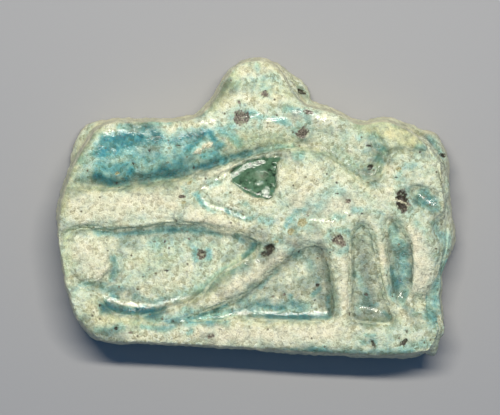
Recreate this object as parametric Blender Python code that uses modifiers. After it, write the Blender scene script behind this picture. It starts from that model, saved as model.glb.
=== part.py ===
# A wedjat eye amulet of glazed ware, pressed in an open mould: flat at the back, walls that
# narrow toward the face, a carved eye on the face, and a lug on the brow with a hole for a cord.
# Sizes are in millimetres and become metres at the end. +Z points out of the face.

import math

import bpy
import bmesh
import numpy as np
from mathutils import Vector

PART_NAME = "wedjat_amulet"
METRES_PER_MM = 0.001

# Overall size
WIDTH = 34.0
HEIGHT = 25.8
FACE_LEVEL = 5.2
BLANK_THICKNESS = 5.6

# Cord hole, which runs along X through the lug
HOLE_RADIUS = 0.75
HOLE_Y = 10.35
HOLE_Z = 2.9
HOLE_SIDES = 20

# The worn funnel at the hole's right mouth
FUNNEL_START = (2.9, 10.2, 2.8)
FUNNEL_START_RADIUS = 0.6
FUNNEL_LENGTH = 2.0
FUNNEL_END_RADIUS = 1.2
FUNNEL_RISE = 0.35

# Fineness of the modelling
OUTLINE_SPACING = 0.35
STEPS_PER_SPAN = 16
NORMAL_REACH = 4
VOXEL = 0.15
SMOOTHING_STEPS = 3
TRIANGLES = 8800
SHARP_ANGLE = 50.0
MERGE_DISTANCE = 0.0001

GLAZE = dict(colour=(0.62, 0.66, 0.53, 1.0), roughness=0.42, metallic=0.0)

# Outline of the back, clockwise from the lug's left foot: x, y, and how far inside it the rim
# of the face stands. The mould's walls open toward the back, most of all at the right.
OUTLINE = [
    (-5.1, 8.2, 0.4), (-3.9, 9.4, 0.35), (-2.9, 11.0, 0.3), (-1.9, 12.3, 0.3), (-0.3, 12.9, 0.3),
    (1.2, 12.7, 0.3), (2.7, 11.9, 0.7), (4.1, 10.7, 1.3), (4.7, 9.9, 1.3), (4.6, 9.4, 0.9),
    (6.3, 8.7, 0.4), (8.4, 7.7, 0.35), (9.3, 7.5, 0.35), (10.5, 7.8, 0.35), (12.3, 7.6, 0.6),
    (14.1, 6.8, 0.9), (15.3, 6.4, 1.3), (16.0, 5.3, 1.3), (16.4, 4.3, 1.0), (16.5, 2.4, 0.8),
    (16.7, 0.0, 0.8), (17.0, -2.0, 1.2), (16.7, -3.6, 1.4), (15.9, -5.5, 1.2), (15.8, -7.2, 1.2),
    (15.9, -9.6, 0.8), (15.3, -11.2, 0.6), (14.4, -12.3, 0.5), (13.0, -12.8, 0.4),
    (8.2, -12.7, 0.3), (-0.5, -12.1, 0.2), (-9.1, -11.6, 0.2), (-12.7, -11.5, 0.2),
    (-14.2, -10.9, 0.35), (-15.4, -9.2, 0.2), (-16.1, -6.8, 0.1), (-16.6, -3.6, 0.0),
    (-17.0, -0.8, 0.25), (-16.8, 1.1, 0.4), (-15.9, 4.1, 0.6), (-15.5, 5.8, 1.1),
    (-14.5, 7.2, 1.1), (-13.0, 7.6, 0.5), (-11.3, 7.8, 0.4), (-7.0, 7.8, 0.35),
]

# Section of the wall, from the back up: height, share of the rim's setback, further setback.
# Most of the setback is a ledge above the back layer, and the wall over it is steep.
WALL_SECTION = [
    (-0.4, 0.0, 0.45), (0.0, 0.0, 0.25), (0.5, 0.0, 0.0), (1.3, 0.05, 0.0), (1.65, 0.45, 0.0),
    (1.9, 0.75, 0.0), (4.6, 0.95, 0.0), (5.3, 1.0, 0.05), (5.5, 1.0, 0.15),
    (BLANK_THICKNESS, 1.0, 0.32),
]
WALL_TOP = 2.1

# The ledge stands higher along the right side: the level it has elsewhere, how far it rises, and
# between which x it does so.
LEDGE_LEVEL = 1.75
LEDGE_RISE = 1.6
LEDGE_RISE_START = 13.8
LEDGE_RISE_END = 15.0

# How the face falls away beside its rim, more along the brow than along the bottom bar
EDGE_FALL_ABOVE = 0.34
EDGE_FALL_BELOW = 0.12
EDGE_FALL_WIDTH = 2.0
EDGE_FALL_CHANGE = 6.0
LUG_FOOT = 8.8
LUG_SLOPE = 0.21

# Sunk fields of the relief: the level of the floor beside its wall, how far the floor rises
# toward its middle and over what distance, the width of the wall, and the outline.
HOLLOWS = {
    "left_field": dict(
        floor=4.15, crown=0.15, reach=2.4, wall=0.45,
        outline=[(-16.2, -1.7), (-9.8, -1.4), (-6.6, -1.1), (-3.5, -1.4), (-0.9, -2.0), (0.4, -2.8),
                 (0.1, -3.8), (-3.2, -6.0), (-4.4, -7.3), (-5.9, -8.2), (-8.1, -8.9), (-10.6, -9.3),
                 (-12.5, -8.8), (-13.3, -7.8), (-14.0, -7.1), (-15.4, -6.5), (-16.0, -4.6)]),
    "middle_field": dict(
        floor=4.15, crown=0.1, reach=1.8, wall=0.45,
        outline=[(-6.3, -9.35), (-2.9, -7.9), (-1.1, -7.0), (1.7, -4.5), (2.9, -3.6), (4.0, -3.0),
                 (5.2, -2.8), (6.0, -3.5), (6.5, -5.6), (6.9, -8.9), (6.5, -9.6), (2.9, -9.7),
                 (-1.8, -9.5), (-4.6, -9.6)]),
    "arched_field": dict(
        floor=4.1, crown=0.1, reach=0.8, wall=0.45,
        outline=[(8.1, -9.3), (7.9, -5.0), (7.9, -2.7), (8.3, -1.7), (8.9, -1.2), (9.6, -1.6),
                 (10.1, -3.4), (10.5, -6.1), (10.9, -7.6), (11.6, -8.9), (11.5, -9.6), (9.8, -9.7),
                 (8.6, -9.6)]),
    "crescent_field": dict(
        floor=4.0, crown=0.0, reach=1.0, wall=0.7,
        outline=[(11.3, -0.6), (11.9, -1.2), (12.9, -2.8), (13.2, -4.3), (13.1, -6.2), (12.7, -7.7),
                 (12.2, -8.1), (11.7, -7.6), (11.2, -5.2), (11.0, -1.8)]),
    "corner_field": dict(
        floor=4.3, crown=0.0, reach=1.0, wall=0.45,
        outline=[(12.9, 1.6), (13.7, 1.8), (14.8, 1.6), (15.5, 1.1), (15.6, -0.1), (14.9, -0.1),
                 (13.6, 0.7)]),
    "eye_pool": dict(
        floor=4.7, crown=0.0, reach=1.0, wall=0.35,
        outline=[(-2.2, 2.7), (-0.5, 4.0), (0.7, 4.4), (2.1, 4.5), (1.6, 2.9), (1.6, 1.2),
                 (1.1, 0.8), (-0.8, 1.4), (-1.8, 1.9)]),
    "right_flank": dict(
        floor=2.35, crown=0.0, reach=1.0, wall=1.3,
        outline=[(15.6, -0.6), (15.1, -1.8), (15.2, -3.1), (14.5, -6.1), (13.4, -7.8), (13.8, -8.9),
                 (14.8, -9.4), (17.0, -9.5), (17.6, -5.5), (17.6, -2.0)]),
}

# Low domes left standing in or beside the fields: centre, half sizes, level at the middle, how
# much lower the dome is at its edge, and the width of the edge.
DOMES = {
    "curl": dict(centre=(-14.35, -4.0), half=(1.9, 2.1), level=5.1, sag=0.15, edge=0.5),
    "pupil": dict(centre=(4.0, 2.05), half=(2.4, 2.2), level=5.45, sag=0.12, edge=0.45),
}

# Grooves along open paths: depth, the width on the left and on the right of the path's own
# direction, the distance over which the depth fades in at its start and out at its end.
GROOVES = {
    "under_brow": dict(
        depth=1.05, left=3.3, right=0.55, fade=(1.8, 0.4),
        path=[(-16.4, 1.9), (-12.8, 1.8), (-8.5, 2.3), (-4.3, 3.3), (-0.9, 4.4), (1.6, 5.1),
              (3.0, 5.2), (4.6, 5.1), (6.3, 4.6), (7.9, 3.4), (9.6, 2.0)]),
    "brow_end": dict(
        depth=1.0, left=0.7, right=2.0, fade=(2.6, 0.6),
        path=[(8.9, 7.6), (9.6, 6.6), (10.6, 5.3), (10.9, 4.3), (10.6, 3.2), (9.6, 2.2)]),
    "inner_corner_top": dict(
        depth=0.45, left=0.5, right=0.7, fade=(0.3, 0.5),
        path=[(-4.8, 1.5), (-4.1, 1.9), (-3.0, 2.4), (-2.0, 3.0)]),
    "below_lower_lid": dict(
        depth=0.5, left=0.8, right=0.7, fade=(0.3, 1.6),
        path=[(-4.8, 1.6), (-4.6, 0.9), (-4.0, 0.3), (-2.0, -0.7), (0.9, -1.4)]),
    "under_eye": dict(
        depth=0.35, left=0.7, right=0.7, fade=(0.6, 1.2),
        path=[(2.3, -2.0), (2.7, -1.0), (3.5, -0.5), (4.6, -1.1), (5.8, -0.9), (7.6, 0.0)]),
    "block_line": dict(
        depth=0.6, left=0.3, right=0.45, fade=(0.2, 0.8),
        path=[(10.8, 4.7), (12.4, 4.95), (14.8, 4.7)]),
    "lug_dip": dict(
        depth=0.2, left=0.6, right=0.6, fade=(0.8, 0.8),
        path=[(-2.2, 10.6), (-0.5, 11.0), (2.4, 11.0)]),
    "foot_dip": dict(
        depth=0.35, left=0.5, right=0.5, fade=(0.4, 1.0),
        path=[(-6.0, -9.4), (-7.7, -9.7), (-9.0, -10.0), (-12.8, -10.1)]),
    "pupil_gap": dict(
        depth=0.35, left=0.3, right=0.3, fade=(0.5, 0.5),
        path=[(2.2, 4.1), (3.5, 4.45), (4.8, 4.2)]),
}


def clear_scene():
    for scene_object in list(bpy.data.objects):
        bpy.data.objects.remove(scene_object, do_unlink=True)


def new_collection(name):
    collection = bpy.data.collections.new(name)
    bpy.context.scene.collection.children.link(collection)
    return collection


# A smooth curve through hand-set points, sampled evenly. Columns after x and y ride along.
def smooth_path(points, closed, spacing):
    p = np.array(points, float)
    if closed:
        p = np.vstack([p[-1:], p, p[:2]])
    else:
        p = np.vstack([2 * p[0] - p[1], p, 2 * p[-1] - p[-2]])
    gaps = np.sqrt(np.linalg.norm(np.diff(p[:, :2], axis=0), axis=1))
    knots = np.concatenate([[0.0], np.cumsum(gaps)])
    steps = np.linspace(0.0, 1.0, STEPS_PER_SPAN, endpoint=False)
    spans = []
    for i in range(1, len(p) - 2):
        k0, k1, k2, k3 = knots[i - 1:i + 3]
        k = (k1 + (k2 - k1) * steps)[:, None]
        a = (p[i - 1] * (k1 - k) + p[i] * (k - k0)) / (k1 - k0)
        b = (p[i] * (k2 - k) + p[i + 1] * (k - k1)) / (k2 - k1)
        c = (p[i + 1] * (k3 - k) + p[i + 2] * (k - k2)) / (k3 - k2)
        d = (a * (k2 - k) + b * (k - k0)) / (k2 - k0)
        e = (b * (k3 - k) + c * (k - k1)) / (k3 - k1)
        spans.append((d * (k2 - k) + e * (k - k1)) / (k2 - k1))
    curve = np.vstack(spans)
    curve = np.vstack([curve, curve[:1] if closed else p[-2:-1]])
    along = np.concatenate([[0.0], np.cumsum(np.linalg.norm(np.diff(curve[:, :2], axis=0), axis=1))])
    count = max(4, round(along[-1] / spacing))
    even = np.linspace(0.0, along[-1], count, endpoint=not closed)
    return np.stack([np.interp(even, along, column) for column in curve.T], axis=1)


# Nearest distance to a path, signed positive on its left, and the length along it there
def distance_to_path(x, y, path, closed=False):
    nodes = np.vstack([path, path[:1]]) if closed else path
    nearest = np.full(x.shape, np.inf)
    along = np.zeros(x.shape)
    travelled = 0.0
    for (ax, ay), (bx, by) in zip(nodes[:-1, :2], nodes[1:, :2]):
        dx, dy = bx - ax, by - ay
        length = math.hypot(dx, dy)
        t = np.clip(((x - ax) * dx + (y - ay) * dy) / length ** 2, 0.0, 1.0)
        away = np.hypot(x - ax - t * dx, y - ay - t * dy)
        side = np.where(dx * (y - ay) - dy * (x - ax) < 0.0, -1.0, 1.0)
        closer = away < np.abs(nearest)
        nearest = np.where(closer, away * side, nearest)
        along = np.where(closer, travelled + t * length, along)
        travelled += length
    return nearest, along, travelled


# Distance to a closed outline, positive inside it
def depth_inside(x, y, outline):
    away = np.abs(distance_to_path(x, y, outline, closed=True)[0])
    inside = np.zeros(x.shape, bool)
    for (ax, ay), (bx, by) in zip(outline[:, :2], np.roll(outline[:, :2], -1, axis=0)):
        if ay != by:
            crosses = (ay > y) != (by > y)
            inside ^= crosses & (x < ax + (y - ay) * (bx - ax) / (by - ay))
    return np.where(inside, away, -away)


def ease(t):
    t = np.clip(t, 0.0, 1.0)
    return t * t * (3.0 - 2.0 * t)


def cut_hollow(top, x, y, floor, crown, reach, wall, outline):
    inside = depth_inside(x, y, smooth_path(outline, True, OUTLINE_SPACING))
    bed = floor + crown * ease((inside - wall) / reach)
    share = ease((inside + 0.5 * wall) / wall)
    return top + (np.minimum(bed, top) - top) * share


def raise_dome(top, x, y, centre, half, level, sag, edge):
    radius = np.hypot((x - centre[0]) / half[0], (y - centre[1]) / half[1])
    inside = (1.0 - radius) * min(half)
    share = ease(inside / edge + 0.5)
    return top + (level - sag * radius ** 2 - top) * share


# The section of a groove falls like a bank that is steepest beside the path.
def cut_groove(top, x, y, depth, left, right, fade, path):
    away, along, length = distance_to_path(x, y, smooth_path(path, False, OUTLINE_SPACING))
    width = np.where(away > 0.0, left, right)
    bank = np.clip(1.0 - np.abs(away) / width, 0.0, 1.0) ** 2
    strength = ease(along / fade[0]) * ease((length - along) / fade[1])
    return top - depth * bank * strength


# Height of the face over each place, in millimetres above the back
def face_height(x, y, outline):
    inside = depth_inside(x, y, outline)
    above = ease((y + EDGE_FALL_CHANGE / 2) / EDGE_FALL_CHANGE)
    fall = EDGE_FALL_BELOW + (EDGE_FALL_ABOVE - EDGE_FALL_BELOW) * above
    top = FACE_LEVEL - fall * (1.0 - ease(inside / EDGE_FALL_WIDTH))
    top = top - LUG_SLOPE * np.maximum(y - LUG_FOOT, 0.0)
    for groove in GROOVES.values():
        top = cut_groove(top, x, y, **groove)
    for hollow in HOLLOWS.values():
        top = cut_hollow(top, x, y, **hollow)
    for dome in DOMES.values():
        top = raise_dome(top, x, y, **dome)
    return top


def evaluated_copy(source, name):
    depsgraph = bpy.context.evaluated_depsgraph_get()
    mesh = bpy.data.meshes.new_from_object(source.evaluated_get(depsgraph))
    mesh.name = name
    return mesh


# The plain blank: a loft through the wall's levels, closed at the back and at the face
def make_blank(outline, collection):
    ahead = (np.roll(outline, -NORMAL_REACH, axis=0) - np.roll(outline, NORMAL_REACH, axis=0))[:, :2]
    inward = np.stack([ahead[:, 1], -ahead[:, 0]], axis=1)
    inward /= np.linalg.norm(inward, axis=1)[:, None]
    bm = bmesh.new()
    lower_edges = None
    for height, share, extra in WALL_SECTION:
        ring = outline[:, :2] + inward * (outline[:, 2] * share + extra)[:, None]
        verts = [bm.verts.new((px, py, height)) for px, py in ring]
        edges = [bm.edges.new((a, b)) for a, b in zip(verts, verts[1:] + verts[:1])]
        if lower_edges is None:
            bmesh.ops.edgenet_fill(bm, edges=edges)
        else:
            bmesh.ops.bridge_loops(bm, edges=lower_edges + edges)
        lower_edges = edges
    bmesh.ops.edgenet_fill(bm, edges=lower_edges)
    bmesh.ops.recalc_face_normals(bm, faces=bm.faces)
    mesh = bpy.data.meshes.new("blank")
    bm.to_mesh(mesh)
    bm.free()
    blank = bpy.data.objects.new("blank", mesh)
    collection.objects.link(blank)
    skin = blank.modifiers.new("Skin", "REMESH")
    skin.mode = "VOXEL"
    skin.voxel_size = VOXEL
    return blank


# Lifts the ledge at the right; the walls below and above it stretch and shorten to follow.
def lift_ledge(x, z):
    share = ease((x - LEDGE_RISE_START) / (LEDGE_RISE_END - LEDGE_RISE_START))
    below = z / LEDGE_LEVEL
    above = (FACE_LEVEL - z) / (FACE_LEVEL - LEDGE_LEVEL)
    return z + LEDGE_RISE * share * np.clip(np.minimum(below, above), 0.0, 1.0)


# Presses the relief into the upper part of the blank, and leaves its lower walls in place
def press_relief(mesh, outline):
    places = np.empty(len(mesh.vertices) * 3)
    mesh.vertices.foreach_get("co", places)
    places = places.reshape(-1, 3)
    x, y, z = places.T
    top = face_height(x, y, outline)
    pressed = WALL_TOP + (z - WALL_TOP) * (top - WALL_TOP) / (BLANK_THICKNESS - WALL_TOP)
    places[:, 2] = lift_ledge(x, np.where(z > WALL_TOP, pressed, z))
    mesh.vertices.foreach_set("co", places.ravel())
    mesh.update()


def make_thinned(mesh, collection):
    dense = bpy.data.objects.new("dense", mesh)
    collection.objects.link(dense)
    soften = dense.modifiers.new("Soften", "SMOOTH")
    soften.iterations = SMOOTHING_STEPS
    mesh.calc_loop_triangles()
    thin = dense.modifiers.new("Thin", "DECIMATE")
    thin.ratio = TRIANGLES / len(mesh.loop_triangles)
    thin.use_collapse_triangulate = True
    return dense


# Cuts the back flat at z = 0, brings the mesh to its exact width and height, centres it on the
# origin and turns millimetres into metres
def finish_mesh(mesh):
    bm = bmesh.new()
    bm.from_mesh(mesh)
    geometry = bm.verts[:] + bm.edges[:] + bm.faces[:]
    cut = bmesh.ops.bisect_plane(
        bm, geom=geometry, dist=MERGE_DISTANCE, plane_co=(0.0, 0.0, 0.0), plane_no=(0.0, 0.0, 1.0),
        clear_inner=True)
    rim = [item for item in cut["geom_cut"] if isinstance(item, bmesh.types.BMEdge)]
    bmesh.ops.edgenet_fill(bm, edges=rim)
    places = np.array([vert.co for vert in bm.verts])
    low, high = places.min(axis=0), places.max(axis=0)
    middle = (low + high) / 2
    for vert in bm.verts:
        vert.co.x = (vert.co.x - middle[0]) * WIDTH / (high[0] - low[0]) * METRES_PER_MM
        vert.co.y = (vert.co.y - middle[1]) * HEIGHT / (high[1] - low[1]) * METRES_PER_MM
        vert.co.z = max(vert.co.z, 0.0) * METRES_PER_MM
    bmesh.ops.recalc_face_normals(bm, faces=bm.faces)
    bm.to_mesh(mesh)
    bm.free()


def file_as_cutter(cutter, name, collection):
    cutter.name = name
    for owner in list(cutter.users_collection):
        owner.objects.unlink(cutter)
    collection.objects.link(cutter)
    cutter.hide_render = True
    cutter.display_type = "WIRE"
    return cutter


def make_hole_cutter(collection):
    bpy.ops.mesh.primitive_cylinder_add(
        vertices=HOLE_SIDES, radius=HOLE_RADIUS * METRES_PER_MM, depth=WIDTH * METRES_PER_MM,
        location=(0.0, HOLE_Y * METRES_PER_MM, HOLE_Z * METRES_PER_MM), rotation=(0.0, math.pi / 2, 0.0))
    return file_as_cutter(bpy.context.active_object, "cord_hole_cutter", collection)


def make_funnel_cutter(collection):
    direction = Vector((1.0, 0.0, FUNNEL_RISE)).normalized()
    middle = (Vector(FUNNEL_START) + direction * FUNNEL_LENGTH / 2) * METRES_PER_MM
    bpy.ops.mesh.primitive_cone_add(
        vertices=HOLE_SIDES, radius1=FUNNEL_START_RADIUS * METRES_PER_MM,
        radius2=FUNNEL_END_RADIUS * METRES_PER_MM, depth=FUNNEL_LENGTH * METRES_PER_MM,
        location=middle, rotation=direction.to_track_quat("Z", "Y").to_euler())
    return file_as_cutter(bpy.context.active_object, "hole_mouth_cutter", collection)


def cut(target, cutter):
    difference = target.modifiers.new(cutter.name, "BOOLEAN")
    difference.operation = "DIFFERENCE"
    difference.solver = "EXACT"
    difference.object = cutter


def glaze_material():
    material = bpy.data.materials.new("glazed_ware")
    material.use_nodes = True
    shader = material.node_tree.nodes["Principled BSDF"]
    shader.inputs["Base Color"].default_value = GLAZE["colour"]
    shader.inputs["Roughness"].default_value = GLAZE["roughness"]
    shader.inputs["Metallic"].default_value = GLAZE["metallic"]
    material.diffuse_color = GLAZE["colour"]
    return material


def make_amulet(parts, cutters):
    outline = smooth_path(OUTLINE, True, OUTLINE_SPACING)
    blank = make_blank(outline, cutters)
    relief = evaluated_copy(blank, "relief")
    press_relief(relief, outline)
    dense = make_thinned(relief, cutters)
    mesh = evaluated_copy(dense, PART_NAME)
    for guide in (blank, dense):
        bpy.data.objects.remove(guide)
    finish_mesh(mesh)
    mesh.materials.append(glaze_material())
    amulet = bpy.data.objects.new(PART_NAME, mesh)
    parts.objects.link(amulet)
    cut(amulet, make_hole_cutter(cutters))
    cut(amulet, make_funnel_cutter(cutters))
    mesh.shade_smooth()
    mesh.set_sharp_from_angle(angle=math.radians(SHARP_ANGLE))
    return amulet


def main():
    clear_scene()
    parts = new_collection("wedjat eye amulet")
    cutters = new_collection("cutters")
    make_amulet(parts, cutters)


main()
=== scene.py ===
import math

import bmesh
import bpy
import numpy as np
from mathutils import Matrix, Vector, noise


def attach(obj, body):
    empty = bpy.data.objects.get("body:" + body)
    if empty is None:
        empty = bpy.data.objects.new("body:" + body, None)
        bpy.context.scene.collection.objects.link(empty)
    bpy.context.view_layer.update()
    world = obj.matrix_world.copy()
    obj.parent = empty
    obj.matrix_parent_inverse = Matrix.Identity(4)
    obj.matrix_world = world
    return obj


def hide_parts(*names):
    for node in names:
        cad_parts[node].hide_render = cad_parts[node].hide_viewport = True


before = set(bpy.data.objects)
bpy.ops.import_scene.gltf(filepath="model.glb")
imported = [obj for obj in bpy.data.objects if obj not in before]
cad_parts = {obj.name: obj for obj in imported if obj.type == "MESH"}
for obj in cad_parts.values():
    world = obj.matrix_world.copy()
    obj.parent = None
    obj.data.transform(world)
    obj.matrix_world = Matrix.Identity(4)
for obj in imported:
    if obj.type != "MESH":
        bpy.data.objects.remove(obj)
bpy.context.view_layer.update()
print("frame loaded")

mm = 0.001          # the skin is worked in millimetres and goes back to metres at the end
perMm = 1000.0      # texture scales are set per millimetre

# the skin of the amulet, in millimetres, and how rough or worn its parts are
amulet = {
    "node": "wedjat_amulet",
    "voxel": 0.1275,
    "softenPasses": 3,
    "backTop": 0.15,        # what lies lower is the flat back, which needs few faces
    "backShare": 0.62,      # share of all the faces that stays once the back is thinned
    "cell": 0.12,           # of the height map that finds hollows and ridges
    "pooling": 0.7,         # how far glaze fills the foot of a wall
    "wearing": 0.2,         # how far handling has rounded a ridge
    "fieldSoftness": 0.8,   # how far the walls of the lower fields have sagged to gentle slopes
    "wobble": 0.09,         # sideways unevenness of every edge
    "waviness": 0.04,       # height of the broad swells of the face
    "rippling": 0.035,      # height of its small swells
    "wallWaviness": 0.12,   # height of both on the outer walls
    "grain": 0.034,
    "pocks": 240,
    "pockSize": (0.07, 0.18),
    "pockDepth": (0.03, 0.1),
    "darkPocks": 0.15,      # share of them
    "seed": 7,
}

# fine strokes on the face: half width, depth (below zero stands proud), then the path
strokes = {
    "rimCrevice": (0.15, 0.22, [(12.5, 6.9), (13.2, 6.6), (13.9, 6.2), (14.4, 5.6), (14.7, 4.7),
                                (15.2, 3.8), (15.6, 2.8), (15.9, 1.5)]),
    "leftCrevice": (0.18, 0.22, [(-15.2, 4.1), (-14.9, 4.9), (-14.2, 5.8), (-13.6, 6.4)]),
    "curlRoll": (0.7, -0.26, [(-15.5, -5.9), (-14.2, -6.05), (-13.0, -5.5), (-12.5, -4.3)]),
    "bandLine": (0.12, 0.14, [(-15.8, -1.2), (-13.6, -1.2), (-11.4, -0.98), (-9.4, -0.85), (-7.6, -0.85),
                              (-6.6, -0.95)]),
    "browCrest": (0.7, -0.16, [(-13.3, 6.2), (-11.4, 6.5), (-9.0, 6.6), (-7.6, 6.7)]),
    "lidEdge": (0.32, -0.12, [(-5.2, 2.5), (-2.8, 3.3), (-0.2, 4.3), (1.6, 4.8), (3.4, 4.9),
                              (5.0, 4.7), (6.4, 4.0), (7.6, 2.9), (9.0, 1.7), (10.6, 0.8)]),
    "flankCrack": (0.1, 0.14, [(16.1, -1.2), (16.2, -2.0), (15.9, -3.1), (15.5, -4.0), (15.3, -5.0)]),
    "lidWrinkle": (0.15, -0.06, [(4.5, -1.0), (5.4, -1.1), (6.2, -1.05), (7.2, -0.65), (7.7, -0.3)]),
    "blockWrinkle": (0.13, 0.1, [(11.2, 4.1), (11.8, 3.6), (12.3, 3.1)]),
    "barCrackHigh": (0.09, 0.12, [(9.9, -3.1), (10.3, -3.4), (10.7, -3.5)]),
    "barCrackLow": (0.09, 0.12, [(10.0, -4.2), (10.4, -4.5), (10.8, -4.6)]),
}

# pits where gas or grit broke the glaze: x, y, half length, half width, turn in degrees, depth, kind; black
# also paints the shade inside deep holes
pits = [
    (-1.2, 7.6, 0.66, 0.62, 0, 0.12, "manganese"), (4.0, 6.4, 0.42, 0.5, 20, 0.12, "manganese"),
    (4.4, 8.1, 0.42, 0.15, -10, 0.1, "manganese"), (0.7, 9.6, 0.4, 0.26, -15, 0.12, "manganese"),
    (-1.4, 9.0, 0.13, 0.13, 0, 0.08, "manganese"), (9.7, 3.5, 0.24, 0.2, 0, 0.14, "black"),
    (12.2, 1.1, 0.5, 0.4, 80, 0.25, "manganese"), (12.4, 0.3, 0.75, 0.5, 95, 0.35, "manganese"),
    # black at x 3.9, y 9.9 paints the shade in the mouth of the cord hole
    (12.3, 0.6, 0.85, 0.42, 95, 0.1, "black"), (3.9, 9.9, 0.5, 0.2, -20, 0.3, "black"),
    (12.0, 3.3, 0.2, 0.18, 0, 0.1, "ochre"), (11.8, 2.6, 0.14, 0.12, 0, 0.1, "black"),
    (7.8, 0.6, 0.24, 0.2, 0, 0.15, "manganese"), (6.8, 1.2, 0.12, 0.1, 0, 0.08, "black"),
    (6.8, 2.2, 0.1, 0.1, 0, 0.08, "black"), (8.9, -0.4, 0.1, 0.1, 0, 0.08, "black"),
    # black in these two deep holes paints their shade
    (1.2, -3.4, 0.42, 0.32, 40, 0.45, "black"), (0.85, -3.9, 0.26, 0.22, 0, 0.35, "black"),
    (1.7, -2.8, 0.22, 0.16, 0, 0.08, "ochre"), (2.9, -2.0, 0.32, 0.26, 30, 0.1, "ochre"),
    (3.9, -1.2, 0.42, 0.3, 20, 0.08, "ochre"), (7.0, -2.7, 0.5, 0.6, 60, 0.28, "manganese"),
    (-4.6, -3.9, 0.42, 0.36, 20, 0.3, "manganese"), (-7.7, -3.6, 0.12, 0.12, 0, 0.08, "black"),
    (-8.6, -2.8, 0.16, 0.12, 0, 0.08, "manganese"), (-7.7, -2.8, 0.14, 0.1, 0, 0.08, "manganese"),
    (-5.7, -2.6, 0.14, 0.12, 0, 0.08, "manganese"), (-7.6, -5.3, 0.15, 0.13, 0, 0.08, "black"),
    (-9.6, -5.8, 0.12, 0.1, 0, 0.06, "black"), (-11.7, 3.0, 0.22, 0.12, 0, 0.12, "ochre"),
    (-9.0, 4.9, 0.12, 0.12, 0, 0.1, "black"), (-6.6, 5.3, 0.16, 0.09, 0, 0.08, "black"),
    (-10.4, 3.8, 0.1, 0.1, 0, 0.08, "black"), (-6.3, 1.0, 0.3, 0.14, -10, 0.14, "manganese"),
    (-6.2, 0.5, 0.32, 0.14, -5, 0.06, "ochre"), (-5.6, 2.2, 0.26, 0.16, 30, 0.06, "ochre"),
    (-0.9, 1.7, 0.16, 0.12, 0, 0.06, "black"), (5.2, -6.5, 0.16, 0.14, 0, 0.12, "black"),
    (1.5, -7.5, 0.14, 0.14, 0, 0.1, "manganese"), (2.4, -7.3, 0.12, 0.12, 0, 0.1, "manganese"),
    (9.4, -7.3, 0.16, 0.14, 0, 0.12, "black"), (9.6, -8.3, 0.1, 0.1, 0, 0.08, "black"),
    (9.9, -11.4, 0.34, 0.13, -60, 0.25, "black"), (12.5, -11.3, 0.3, 0.18, 60, 0.2, "black"),
    (12.7, -10.4, 0.15, 0.13, 0, 0.12, "black"), (15.9, 4.5, 0.3, 0.15, -35, 0.3, "black"),
    (-13.3, -8.3, 0.12, 0.12, 0, 0.1, "black"), (-13.8, -9.1, 0.1, 0.1, 0, 0.1, "black"),
    (-11.9, -10.1, 0.15, 0.14, 0, 0.1, "black"), (-10.6, -10.5, 0.24, 0.14, 40, 0.12, "manganese"),
    (-3.8, -10.8, 0.3, 0.16, 20, 0.08, "manganese"), (9.5, 5.3, 0.22, 0.1, 0, 0.06, "black"),
]
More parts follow.
